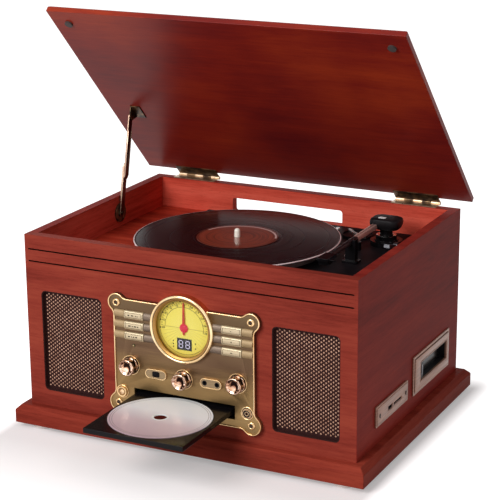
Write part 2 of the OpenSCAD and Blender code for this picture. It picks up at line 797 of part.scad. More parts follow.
// The control board behind the fascia, the amplifier board and its transformer on the bottom panel
pot_r = 8;
pot_len = 8;
ear_in = 73;
ear_low = round_z - 8;
ear_top = 2;
board_half = 88;
ear_out = board_half + 2;
switch_block = 6;
board_low = slot_low + slot_h + drive_side + 4.7;
// The amplifier board lies between the disc drive and the base, and its transformer behind it.
amp_beside_drive = 14;
amp_beside_base = 20;
amp_to_core = 7;
amp_in = drive_w / 2 + amp_beside_drive;
amp_w = seat_x - amp_beside_base - amp_in;
amp_d = 100;
amp_x = -amp_in - amp_w / 2;
pillar_h = 6;
pillar_r = 3;
pillar_edge = 5;
sink_w = 14;
sink_d = 70;
sink_h = 28;
sink_edge = 10;
can_r = 8;
can_h = 22;
can_pitch = 22;
can_x = 10;
core_w = 60;
core_d = 36;
core_h = 44;
core_back = 10;
amp_y = seat_y - core_back - core_d - amp_to_core - amp_d / 2;
module circuit_boards() color([0.10, 0.35, 0.16]) {
  difference() {
    union() {
      on_front(0, 0, -board_back - board_t) linear_extrude(board_t) {
        translate([-board_half, board_low]) square([2 * board_half, hole_top - board_low]);
        for (s = [-1, 1]) translate([s * (ear_in + ear_out) / 2, (ear_low + board_low + ear_top) / 2])
          square([ear_out - ear_in, board_low + ear_top - ear_low], center = true);
      }
      for (k = knob_places) on_front(k[0], k[1], -board_back) cylinder(h = pot_len, r = pot_r);
      on_front(0, dial_z, -board_back) cylinder(h = 5, r = 3);
    }
    for (k = knob_places)
      on_front(k[0], k[1], -board_back) cylinder(h = board_back, r = shaft_r + shaft_gap);
    on_front(0, dial_z, -board_back) cylinder(h = board_back, r = pointer_shaft_r + shaft_gap);
  }
  for (sx = [-1, 1], z = button_rows)
    on_front(sx * button_x, z, -board_back) push_switch();
  on_front(-round_x, round_z, -board_back) push_switch();
  on_front(0, display_z, -board_back)
    linear_extrude(board_back + dial_t + 0.4) square([display_w, display_h], center = true);
  on_front(-oval_x, oval_z, -board_back)
    linear_extrude(board_back + fascia_t + 0.6) square([window_hole_w, window_hole_h], center = true);
  on_front(led_x, led_z, -board_back) cylinder(h = board_back + fascia_t + 0.7, r = led_r);
  translate([amp_x, amp_y, z_bottom]) {
    for (sx = [-1, 1], sy = [-1, 1])
      translate([sx * (amp_w / 2 - pillar_edge), sy * (amp_d / 2 - pillar_edge), 0])
        cylinder(h = pillar_h, r = pillar_r);
    translate([-amp_w / 2, -amp_d / 2, pillar_h]) cube([amp_w, amp_d, board_t]);
    translate([sink_edge - amp_w / 2, sink_edge - amp_d / 2, pillar_h + board_t])
      cube([sink_w, sink_d, sink_h]);
    for (i = [0:2])
      translate([can_x, i * can_pitch - amp_d / 4, pillar_h + board_t]) cylinder(h = can_h, r = can_r);
  }
  translate([amp_x - core_w / 2, seat_y - core_back - core_d, z_bottom]) cube([core_w, core_d, core_h]);
}
module push_switch() translate([-switch_block / 2, -switch_block / 2, 0])
  cube([switch_block, switch_block, board_back - switch_top]);

// Disc drive
y_front = -y_face - fascia_t;
tray_front = y_front - rim_h - tray_out + 0.2;
tray_low = slot_low + tray_gap;
tray_top = tray_low + tray_t;
tray_back = tray_front + tray_len;
disc_y = tray_front + disc_back;
drive_low = slot_low - 7.5;
drive_high = slot_low + slot_h + 5.5;
drive_front = 1 - y_in;
drive_back = tray_back + tray_out + 8;
ledge = 9.5;
runner_len = 32;
laser_half = 40;
laser_in = 5;
laser_len = 90;
laser_h = 8;
hub_h = 2;
disc_hub_r = 11;
module disc_drive() color(black) {
  difference() {
    block([-drive_w / 2, drive_front, drive_low], [drive_w / 2, drive_back, drive_high]);
    block([drive_wall - drive_w / 2, drive_front - through, drive_low + drive_wall],
          [drive_w / 2 - drive_wall, drive_back - drive_wall, drive_high - drive_wall]);
  }
  both_sides() {
    block([drive_w / 2 - drive_wall - ledge, drive_front, tray_low - gap - 3],
          [drive_w / 2 - drive_wall, drive_back - drive_wall, tray_low - gap]);
    for (y = [drive_front + 20, drive_back - 30])
      block([drive_w / 2 - 12, y, z_bottom], [drive_w / 2, y + 12, drive_low]);
  }
  // The laser unit with its disc hub, lowered under the tray
  block([-laser_half, drive_front + laser_in, drive_low + drive_wall],
        [laser_half, drive_front + laser_in + laser_len, drive_low + laser_h]);
  translate([0, disc_y + tray_out, drive_low + laser_h]) cylinder(h = hub_h, r = disc_hub_r);
}
tray_window = 38;
module disc_tray() color(black) {
  difference() {
    union() {
      block([-tray_w / 2, tray_front, tray_low], [tray_w / 2, tray_back, tray_top]);
      both_sides() block([tray_w / 2 - 1, tray_back - runner_len, tray_low],
                         [drive_w / 2 - drive_wall - gap, tray_back, tray_low + tray_t / 2]);
    }
    translate([0, disc_y, tray_top - recess_depth]) cylinder(h = 10, r = disc_r + 0.8);
    block([-tray_window / 2, disc_y, tray_low - through],
          [tray_window / 2, disc_y + disc_r + 20, tray_top + through]);
    translate([0, disc_y, tray_low - through]) cylinder(h = 20, r = tray_window / 2);
  }
}
module disc() color([0.85, 0.85, 0.88]) translate([0, disc_y, tray_top - recess_depth + gap]) difference() {
  cylinder(h = disc_t, r = disc_r);
  translate([0, 0, -through]) cylinder(h = disc_t + 2 * through, r = 7.5);
}

// Turntable
skirt_low = z_plate + platter_gap;
platter_top = skirt_low + skirt + platter_t;
record_low = platter_top + mat_t;
record_top = record_low + record_t;
skirt_w = 3;
hub_r = 13;
module platter() color(steel) translate([spindle_x, 0, 0]) {
  difference() {
    union() {
      translate([0, 0, skirt_low]) cylinder(h = skirt + platter_t, r = platter_r);
      translate([0, 0, skirt_low - 0.5]) cylinder(h = skirt, r = hub_r);
    }
    translate([0, 0, skirt_low - through]) difference() {
      cylinder(h = skirt + through, r = platter_r - skirt_w);
      cylinder(h = skirt + through, r = hub_r);
      difference() {
        cylinder(h = skirt + through, r = belt_ring_r);
        cylinder(h = skirt + through, r = belt_ring_r - skirt_w);
      }
    }
  }
  // The axle turns in the bearing. A neck rises from it through the mat and the record to the spindle.
  translate([0, 0, z_deck - bearing_down + 1])
    cylinder(h = platter_top - z_deck + bearing_down - 1, r = axle_r);
  translate([0, 0, platter_top - 1]) cylinder(h = record_top - platter_top + 1, r = neck_r);
  translate([0, 0, record_top]) cylinder(h = spindle_up - spindle_r, r = spindle_r);
  translate([0, 0, record_top + spindle_up - spindle_r]) sphere(spindle_r);
}
module platter_mat() color(black) translate([spindle_x, 0, platter_top]) difference() {
  cylinder(h = mat_t, r = platter_r - 2);
  translate([0, 0, -through]) cylinder(h = mat_t + 2 * through, r = spindle_r + shaft_gap);
}
module record() color([0.05, 0.04, 0.05]) translate([spindle_x, 0, record_low]) difference() {
  cylinder(h = record_t, r = record_r, $fn = 96);
  translate([0, 0, -through]) cylinder(h = record_t + 2 * through, r = spindle_r + shaft_gap);
}
belt_t = 0.8;
belt_h = 3;
module belt_loop(grow) hull() {
  translate([spindle_x, 0]) circle(belt_ring_r + gap + grow, $fn = 64);
  translate([pulley_x, pulley_y]) circle(pulley_r + gap + grow, $fn = 32);
}
module drive_belt() color(black) translate([0, 0, skirt_low + 1]) linear_extrude(belt_h) difference() {
  belt_loop(belt_t);
  belt_loop(0);
}
module deck_motor() color(steel) translate([pulley_x, pulley_y, z_deck - motor_len]) difference() {
  cylinder(h = motor_len, r = motor_r);
  translate([0, 0, motor_len - 15]) cylinder(h = 20, r = motor_shaft_r + shaft_gap);
}
module motor_pulley() color(gold) translate([pulley_x, pulley_y, 0]) {
  translate([0, 0, z_plate + 1]) cylinder(h = skirt_low + belt_h + 2 - z_plate - 1, r = pulley_r);
  translate([0, 0, z_deck - 14]) cylinder(h = 14 + plate_t + 2, r = motor_shaft_r);
}

// Tonearm. Its post carries a turret that swings, and the housing tilts on a pin in the turret.
arm_top = z_rim - arm_top_drop;
arm_low = arm_top - arm_h;
pivot_z = arm_low + 6;
tube_z = arm_low + 4;
tube_x = arm_x - tube_side;
tube_low = tube_z - tube_r;
base_top = z_plate + 7.5;
turret_r = 8;
swing_r = 6;
pin_arm_r = 2;
stylus_y = arm_y - tube_len - 11;
lift_angle = 240;
lift_x = arm_x + lift_reach * cos(lift_angle);
lift_y = arm_y + lift_reach * sin(lift_angle);
lift_stem_r = 2.5;
lift_clear = 0.5;
cue_x = arm_x + 26;
cue_y = arm_y - 31;
cue_z = z_plate + 9;
cue_r = 2;
post_flange_r = 20;
post_step_r = 15;
post_step = 1.5;
lift_sleeve_r = 5;
lift_sleeve_h = 11;
cue_ear_t = 5;
cue_ear_out = 4;
cue_foot_half = 9;
cue_foot_t = 3;
module arm_base() color(black) {
  difference() {
    union() {
      translate([arm_x, arm_y, z_plate]) cylinder(h = base_top - z_plate - post_step, r = post_flange_r);
      translate([arm_x, arm_y, z_plate]) cylinder(h = base_top - z_plate, r = post_step_r);
      translate([lift_x, lift_y, z_plate]) cylinder(h = lift_sleeve_h, r = lift_sleeve_r);
      block([cue_x - cue_ear_out - cue_ear_t, cue_y - cue_ear_t, z_plate],
            [cue_x - cue_ear_out, cue_y + cue_ear_t, cue_z + cue_ear_t]);
      block([cue_x - cue_foot_half, cue_y - cue_foot_half, z_plate],
            [cue_x + cue_foot_half - 1, cue_y + cue_foot_half, z_plate + cue_foot_t]);
    }
    translate([arm_x, arm_y, z_plate + post_step]) cylinder(h = base_top - z_plate, r = swing_r + shaft_gap);
    translate([lift_x, lift_y, z_plate + 1]) cylinder(h = lift_sleeve_h, r = lift_stem_r + shaft_gap);
    translate([cue_x - 2 * cue_ear_t - 2, cue_y, cue_z]) rotate([0, 90, 0])
      cylinder(h = 2 * cue_ear_t, r = cue_r + shaft_gap);
  }
  arm_rest();
}
// The rest is open to the left, so that the arm swings out over the record.
rest_y = arm_y - rest_reach;
rest_side = 5;
rest_half = 4;
rest_foot = 3;
module arm_rest() translate([0, rest_y, 0]) {
  block([tube_x - rest_side, -rest_half, z_plate],
        [tube_x + tube_r + rest_side, rest_half, tube_low - lift_clear]);
  block([tube_x + tube_r + lift_clear, -rest_half, z_plate],
        [tube_x + tube_r + rest_side, rest_half, tube_z + tube_r + 1]);
  block([tube_x - rest_side - rest_foot, -rest_half - rest_foot, z_plate],
        [tube_x + tube_r + rest_side + rest_foot, rest_half + rest_foot, z_plate + rest_foot]);
}
module arm_turret() color(black) translate([arm_x, arm_y, 0]) difference() {
  union() {
    translate([0, 0, z_plate + 2]) cylinder(h = pivot_z - z_plate - 2, r = swing_r);
    translate([0, 0, base_top + gap]) cylinder(h = 4, r = 13);
    translate([0, 0, base_top + gap]) cylinder(h = pivot_z + 3.5 - base_top - gap, r = turret_r);
  }
  translate([-20, 0, pivot_z]) rotate([0, 90, 0]) cylinder(h = 40, r = pin_arm_r + shaft_gap);
}
module tonearm() color([0.35, 0.26, 0.26]) {
  difference() {
    translate([arm_x, arm_y, arm_low]) linear_extrude(arm_h) rounded(arm_w, arm_d, 7);
    translate([arm_x, arm_y, arm_low - through]) linear_extrude(arm_h - 2.5 + through)
      square([2 * turret_r + 1.2, 2 * turret_r + 6], center = true);
  }
  translate([arm_x - turret_r - 3, arm_y, pivot_z]) rotate([0, 90, 0])
    cylinder(h = 2 * turret_r + 6, r = pin_arm_r);
  translate([tube_x, arm_y - arm_d / 2 + 3, tube_z]) rotate([90, 0, 0])
    cylinder(h = tube_len - arm_d / 2 + 3, r = tube_r);
}
stylus_gap = 0.4;
module cartridge() color(black) translate([tube_x, arm_y - tube_len, 0]) {
  translate([-shell_w / 2, -shell_len, tube_z - 2]) cube([shell_w, shell_len, 4]);
  translate([-shell_w / 2 + 1, 3 - shell_len, record_top + 1.6])
    cube([shell_w - 2, shell_len - 8, tube_z - 2 - record_top - 1.6]);
  translate([0, -11, record_top + stylus_gap]) cylinder(h = 1.2, r1 = 0.4, r2 = 1.2);
  translate([shell_w / 2, -shell_len + 4, tube_z - 1]) cube([7, 3, 1.5]);
}
lift_bar_t = 3;
lift_bar_half = 2;
lift_end_x = 8;
lift_end_y = 22;
module lift_bar() color(steel) {
  translate([arm_x, arm_y, tube_low - lift_clear - lift_bar_t]) intersection() {
    difference() {
      cylinder(h = lift_bar_t, r = lift_reach + lift_bar_half);
      translate([0, 0, -through]) cylinder(h = lift_bar_t + 2 * through, r = lift_reach - lift_bar_half);
    }
    block([-2 * lift_reach, -2 * lift_reach, 0], [-lift_end_x, -lift_end_y, lift_bar_t]);
  }
  translate([lift_x, lift_y, z_plate + 3])
    cylinder(h = tube_low - lift_clear - z_plate - 3.5, r = lift_stem_r);
}
module cue_lever() color(steel) translate([cue_x, cue_y, cue_z]) {
  translate([-9, 0, 0]) rotate([0, 90, 0]) cylinder(h = 12, r = cue_r);
  translate([-3.5, 0, 0]) rotate([0, 90, 0]) cylinder(h = 5, r = 4);
  rotate([-14, 0, 0]) translate([-2.5, -26, -1.5]) cube([3, 26, 3]);
  rotate([-14, 0, 0]) translate([-4.5, -31, -2]) cube([7, 7, 4]);
}

// Two slide switches in slots of the turntable plate
switch_x = x_in - 25;
switch_y = [14, -24];
slot_half_w = 2;
slot_half_l = 8;
switch_travel = 5;
switch_foot = 2 * (slot_half_l + 1 - switch_travel - 0.5);
module slide_switch(y) color(black) {
  translate([switch_x, y, z_plate + gap + 2.5]) cube([8, 10, 5], center = true);
  translate([switch_x, y, z_plate - 3]) cube([2 * slot_half_w - 0.8, 5, 8], center = true);
  translate([switch_x, y, z_deck - 2.5]) cube([2 * slot_half_w + 1, switch_foot, 4], center = true);
}
module speed_switch() slide_switch(switch_y[0]);
module autostop_switch() slide_switch(switch_y[1]);

// Cassette mechanism
mouth_y = cassette_y + 5.5;
flap_y = mouth_y + (mouth_w - flap_w) / 2 - 1;
flap_t = 2;
flap_in = 6.5;
eject_w = 12;
eject_travel = 3;
eject_gap = 0.4;
eject_y = mouth_y - mouth_w / 2 + eject_gap + eject_w / 2;
hinge_pin_r = 1;
mouth_top = cassette_mid_z + mouth_h / 2;
module cassette_plate() color(gold) difference() {
  union() {
    on_right(cassette_y, cassette_mid_z) linear_extrude(side_proud - 1)
      square([cassette_w, cassette_h], center = true);
    on_right(cassette_y, cassette_mid_z)
      linear_extrude(side_proud) square([cassette_w - 6, cassette_h - 6], center = true);
  }
  on_right(mouth_y, cassette_mid_z, -through) linear_extrude(20) square([mouth_w, mouth_h], center = true);
}
deck_wall = 3;
divider_t = 2.5;
flap_pin_z = mouth_top - hinge_pin_r - 1;
flap_pin_reach = 2;
// A rod along Y in the flap's hinge line
module flap_rod(beyond, r) on_right(0, flap_pin_z, -flap_in) rotate([0, 90, 0])
  translate([0, 0, flap_y - flap_w / 2 - beyond]) cylinder(h = flap_w + 2 * beyond, r = r);
// The box behind the mouth. A divider in it carries one end of the flap's pin, a wall the other.
module cassette_deck() color(black) difference() {
  union() {
    difference() {
      on_right(mouth_y, cassette_mid_z, -mouth_depth - deck_wall) linear_extrude(mouth_depth + deck_wall)
        square([mouth_w + 2 * deck_wall, mouth_h + 2 * deck_wall], center = true);
      on_right(mouth_y, cassette_mid_z, -mouth_depth) linear_extrude(mouth_depth + through)
        square([mouth_w, mouth_h], center = true);
    }
    block([x_side - mouth_depth - through, flap_y - flap_w / 2 - gap - divider_t,
           cassette_mid_z - mouth_h / 2 - through],
          [x_side - 3, flap_y - flap_w / 2 - gap, mouth_top + through]);
  }
  flap_rod(flap_pin_reach + gap, hinge_pin_r + shaft_gap);
}
module cassette_door() color(black) {
  on_right(flap_y, cassette_mid_z - 1, -flap_in - flap_t / 2) linear_extrude(flap_t)
    square([flap_w, mouth_h - 3.4], center = true);
  flap_rod(0, hinge_pin_r + 0.4);
  flap_rod(flap_pin_reach, hinge_pin_r);
}
eject_len = 21;
eject_proud = 1;
module eject_button() color(black)
  on_right(eject_y, cassette_mid_z, eject_proud - eject_len) linear_extrude(eject_len)
    rounded(eject_w, mouth_h - 2 * eject_gap, 2);

card_box_d = 16;
card_slot_d = 13;
card_slot_w = 12.4;
card_slot_h = 4.8;
card_slot_y = -8;
reader_slot_w = 24.4;
reader_slot_h = 2.6;
reader_slot_y = 15;
card_slot_drop = 1;
card_screw_in = 9;
card_screw_r = 2;
module card_opening(y, w, h)
  on_right(y - card_y, card_mid_z - card_slot_drop, -card_slot_d)
    linear_extrude(card_slot_d + 2 * side_proud) square([w, h], center = true);

module card_plate() color(gold) difference() {
  union() {
    on_right(-card_y, card_mid_z) linear_extrude(side_proud) square([card_w, card_h], center = true);
    on_right(-card_y, card_mid_z, -card_box_d)
      linear_extrude(card_box_d)
        square([card_w - 2 * side_lip - 2, card_h - 2 * side_lip - 2], center = true);
  }
  card_opening(card_slot_y, card_slot_w, card_slot_h);
  card_opening(reader_slot_y, reader_slot_w, reader_slot_h);
  for (s = [-1, 1]) on_right(s * (card_w / 2 - card_screw_in) - card_y, card_mid_z, side_proud - 1)
    cylinder(h = side_proud, r = card_screw_r);
}

// Sockets in the rear panel
inlet_w = 17;
inlet_h = 9;
socket_aside = 22;
phono_pitch = 18;
phono_bore_r = 1.6;
socket_plate_t = 1.5;
socket_box_d = 15;
module rear_sockets() color(black) {
  difference() {
    union() {
      on_rear(-socket_left, socket_mid_z) linear_extrude(socket_plate_t) rounded(socket_w, socket_h, 3);
      on_rear(-socket_left, socket_mid_z, -socket_box_d) linear_extrude(socket_box_d)
        square([socket_w - 2 * socket_lip - 1, socket_h - 2 * socket_lip - 1], center = true);
    }
    on_rear(-socket_left - socket_aside, socket_mid_z, 4 - socket_box_d) difference() {
      linear_extrude(socket_box_d + 5) capsule(inlet_w, inlet_h);
      for (s = [-1, 1]) translate([s * 4.3, 0, 0]) cylinder(h = 10, r = 1.2);
    }
  }
  for (s = [-1, 1])
    on_rear(-socket_left + socket_aside + s * phono_pitch / 2, socket_mid_z,
            socket_plate_t + glue_line) difference() {
      cylinder(h = phono_len, r = phono_r);
      translate([0, 0, 1]) cylinder(h = phono_len, r = phono_bore_r);
    }
}

// Lid and its fittings, drawn closed and turned open about the hinge pin
hinge_y = y_face + hinge_back;
hinge_z = z_rim + lid_gap / 2;
lid_low = z_rim + lid_gap;
lid_rear = y_face - lid_back;
lid_front = lid_rear - lid_d;
module opened() translate([0, hinge_y, hinge_z]) rotate([-lid_open, 0, 0])
  translate([0, -hinge_y, -hinge_z]) children();

edge = 2.5;
module lid() color(wood) opened() intersection() {
  translate([-lid_w / 2, 0, 0]) rotate([90, 0, 90]) linear_extrude(lid_w) polygon([
    [lid_front, lid_low], [lid_rear, lid_low], [lid_rear, lid_low + lid_t - 1],
    [lid_rear - 1, lid_low + lid_t], [lid_front + edge, lid_low + lid_t],
    [lid_front, lid_low + lid_t - edge],
  ]);
  translate([0, lid_rear + 1, lid_low]) rotate([90, 0, 0]) linear_extrude(lid_d + 2) polygon([
    [-lid_w / 2, 0], [lid_w / 2, 0], [lid_w / 2, lid_t - edge], [lid_w / 2 - edge, lid_t],
    [edge - lid_w / 2, lid_t], [-lid_w / 2, lid_t - edge],
  ]);
}
module lid_pads() color(black) opened()
  for (s = [-1, 1]) translate([s * (x_side - pad_x), lid_rear - pad_front, lid_low - lid_gap + gap])
    cylinder(h = lid_gap - gap, r = pad_r);

knuckle = hinge_w / 5;
module leaf(z, tongues) {
  difference() {
    union() {
      block([-hinge_w / 2, y_in + 1, z], [hinge_w / 2, hinge_y - barrel_r - gap - 0.2, z + leaf_t]);
      for (k = tongues)
        translate([(k - 2) * knuckle - knuckle / 2 + gap / 2, 0, 0]) {
          translate([0, hinge_y - barrel_r - 1, z]) cube([knuckle - gap, barrel_r + 1, leaf_t]);
          translate([0, hinge_y, hinge_z]) rotate([0, 90, 0]) cylinder(h = knuckle - gap, r = barrel_r);
        }
    }
    translate([-hinge_w, hinge_y, hinge_z]) rotate([0, 90, 0])
      cylinder(h = 2 * hinge_w, r = pin_r + shaft_gap);
  }
}
module hinge_case_leaves() color(brass) for (s = [-1, 1])
  translate([s * hinge_x, 0, 0]) leaf(z_rim, [0, 2, 4]);
module hinge_lid_leaves() color(brass) opened() for (s = [-1, 1]) translate([s * hinge_x, 0, 0]) {
  leaf(lid_low - leaf_t, [1, 3]);
  translate([-hinge_w / 2, hinge_y, hinge_z]) rotate([0, 90, 0]) cylinder(h = hinge_w, r = pin_r);
}

// Lid stay: two arms that stand in line when the lid is open. The foot is pivoted on the left
// panel and the head on the lid. The arms pass each other at the elbow, a clearance apart.
foot_z = z_rim - stay_drop;
head_closed = [lid_rear - stay_front, lid_low - stay_down];
function turned(p) = [
  hinge_y + (p[0] - hinge_y) * cos(lid_open) + (p[1] - hinge_z) * sin(lid_open),
  hinge_z - (p[0] - hinge_y) * sin(lid_open) + (p[1] - hinge_z) * cos(lid_open),
];
head = turned(head_closed);
stay_span = norm([head[0] - stay_y, head[1] - foot_z]);
stay_lower = stay_span - stay_upper;
stay_angle = atan2(head[1] - foot_z, head[0] - stay_y);
rosette_t = 2;
rivet_head_t = 1.2;
lower_x = -x_in + rosette_t + gap;
upper_x = lower_x + stay_t + gap;
bracket_x = upper_x + stay_t + gap;
stay_pin_r = 1.8;
// A flat bar from one pivot towards the other, in the plane of the stay
module bar(x, from, angle, len) translate([x, from[0], from[1]]) rotate([angle, 0, 0]) rotate([90, 0, 90])
  linear_extrude(stay_t) translate([len / 2, 0]) capsule(len + stay_w, stay_w);
module stay_case_bracket() color(brass) translate([-x_in, stay_y, foot_z]) rotate([0, 90, 0]) {
  cylinder(h = rosette_t, r = rosette_r);
  cylinder(h = lower_x + x_in + stay_t + rivet_head_t, r = stay_pin_r);
  translate([0, 0, lower_x + x_in + stay_t + gap]) cylinder(h = rivet_head_t, r = stay_pin_r + 1);
}
module stay_lower_arm() color(brass) difference() {
  bar(lower_x, [stay_y, foot_z], stay_angle, stay_lower + 6);
  translate([lower_x - 1, stay_y, foot_z]) rotate([0, 90, 0])
    cylinder(h = stay_t + 2, r = stay_pin_r + shaft_gap);
}
module stay_upper_arm() color(brass) difference() {
  bar(upper_x, head, stay_angle + 180, stay_upper + 6);
  translate([upper_x - 1, head[0], head[1]]) rotate([0, 90, 0])
    cylinder(h = stay_t + 2, r = stay_pin_r + shaft_gap);
}
ear_w = 12;
ear_tip = 4;
ear_sheet = 1.4;
ear_foot_d = 14;
module stay_lid_bracket() color(brass) opened() {
  block([bracket_x, head_closed[0] - ear_w, lid_low - ear_sheet],
        [bracket_x + ear_foot_d, head_closed[0] + ear_w, lid_low]);
  translate([bracket_x, 0, 0]) rotate([90, 0, 90]) linear_extrude(ear_sheet) polygon([
    [head_closed[0] - ear_w, lid_low], [head_closed[0] + ear_w, lid_low],
    [head_closed[0] + ear_tip, head_closed[1] - 3], [head_closed[0] - ear_tip, head_closed[1] - 3],
  ]);
  translate([upper_x - rivet_head_t, head_closed[0], head_closed[1]]) rotate([0, 90, 0])
    cylinder(h = bracket_x - upper_x + 2.2, r = stay_pin_r);
}

base_plinth();
bottom_panel();
feet();
front_panel();
rear_panel();
left_panel();
right_panel();
deck_board();
turntable_plate();
speaker_grilles();
speaker_drivers();
fascia();
fascia_screws();
dial_bezel();
dial_plate();
dial_glass();
dial_pointer();
front_jacks();
power_button();
button_left_top();
button_left_middle();
button_left_low();
button_right_top();
button_right_middle();
button_right_low();
volume_knob();
mode_knob();
tuning_knob();
circuit_boards();
disc_drive();
disc_tray();
disc();
platter();
platter_mat();
record();
drive_belt();
deck_motor();
motor_pulley();
arm_base();
arm_turret();
tonearm();
cartridge();
cue_lever();
lift_bar();
speed_switch();
autostop_switch();
cassette_plate();
cassette_deck();
cassette_door();
eject_button();
card_plate();
rear_sockets();
lid();
lid_pads();
hinge_case_leaves();
hinge_lid_leaves();
stay_case_bracket();
stay_lower_arm();
stay_upper_arm();
stay_lid_bracket();
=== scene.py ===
import math

import bmesh
import bpy
from mathutils import Matrix, Vector


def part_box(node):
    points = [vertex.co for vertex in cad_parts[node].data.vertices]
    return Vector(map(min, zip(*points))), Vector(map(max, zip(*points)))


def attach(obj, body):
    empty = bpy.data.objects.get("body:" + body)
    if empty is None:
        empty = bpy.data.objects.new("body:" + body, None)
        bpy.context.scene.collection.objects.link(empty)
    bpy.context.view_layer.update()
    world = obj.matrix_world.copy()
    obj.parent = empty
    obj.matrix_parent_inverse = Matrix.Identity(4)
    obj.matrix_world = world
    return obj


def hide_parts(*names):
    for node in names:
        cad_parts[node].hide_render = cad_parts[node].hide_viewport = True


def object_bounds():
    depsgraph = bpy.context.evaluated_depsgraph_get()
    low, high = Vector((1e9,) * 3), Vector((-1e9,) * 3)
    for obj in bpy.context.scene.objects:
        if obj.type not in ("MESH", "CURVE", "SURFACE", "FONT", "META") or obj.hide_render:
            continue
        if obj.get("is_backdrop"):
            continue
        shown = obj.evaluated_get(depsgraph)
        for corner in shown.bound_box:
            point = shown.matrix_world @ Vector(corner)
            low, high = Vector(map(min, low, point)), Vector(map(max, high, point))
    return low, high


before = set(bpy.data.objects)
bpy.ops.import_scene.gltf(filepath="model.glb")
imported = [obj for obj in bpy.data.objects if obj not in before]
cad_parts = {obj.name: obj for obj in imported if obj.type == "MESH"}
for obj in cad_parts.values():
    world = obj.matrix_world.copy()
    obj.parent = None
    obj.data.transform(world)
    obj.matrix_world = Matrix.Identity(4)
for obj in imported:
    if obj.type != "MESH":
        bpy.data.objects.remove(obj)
cad_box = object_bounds()

# The studio: a pale floor and a white surround, one large soft lamp at the upper left, a weak one at the
# right, and the camera at the photograph's viewing angle. The surround is white only where it is seen.
mm = 0.001
camera_place = Vector((888.2, -1772.8, 797.7)) * mm
camera_yaw = math.radians(-26.530)
camera_pitch = math.radians(16.602)
camera_roll = math.radians(-0.438)
focal_pixels = 1693.8
frame_pixels = 500
ambient = 0.2
seen_white = 1.0
glow_share = 0.1
glow_near = 3.1
glow_far = 10.0
glow_start = 30 * mm
glow_reach = 320 * mm
base_half_x = 230 * mm
base_half_y = 178 * mm
side_fade = 14.0
rear_fade = 8.0
floor_reach = 14.0
floor_drop = 0.1 * mm
lamp_aim = Vector((0.0, 0.0, 0.15))
CORNERS = ((-1, -1), (1, -1), (1, 1), (-1, 1))


def srgb(red, green, blue):
    """A colour given as it shows on a screen, 0 to 255, in the linear values that the shaders take."""
    return tuple(c / 3294.6 if c <= 10 else ((c / 255 + 0.055) / 1.055) ** 2.4 for c in (red, green, blue))


class Value:
    """A shader socket that holds a number. Arithmetic on it adds Math nodes to its finish."""

    def __init__(self, finish, socket):
        self.finish = finish
        self.socket = socket

    def math(self, operation, *operands):
        return self.finish.node("ShaderNodeMath", {"operation": operation}, dict(enumerate(operands)))

    def __add__(self, other):
        return self.math("ADD", self, other)

    def __radd__(self, other):
        return self.math("ADD", other, self)

    def __sub__(self, other):
        return self.math("SUBTRACT", self, other)

    def __rsub__(self, other):
        return self.math("SUBTRACT", other, self)

    def __mul__(self, other):
        return self.math("MULTIPLY", self, other)

    def __truediv__(self, other):
        return self.math("DIVIDE", self, other)

    def __rtruediv__(self, other):
        return self.math("DIVIDE", other, self)

    def __gt__(self, other):
        return self.math("GREATER_THAN", self, other)

    def __lt__(self, other):
        return self.math("LESS_THAN", self, other)

    def __abs__(self):
        return self.math("ABSOLUTE", self)


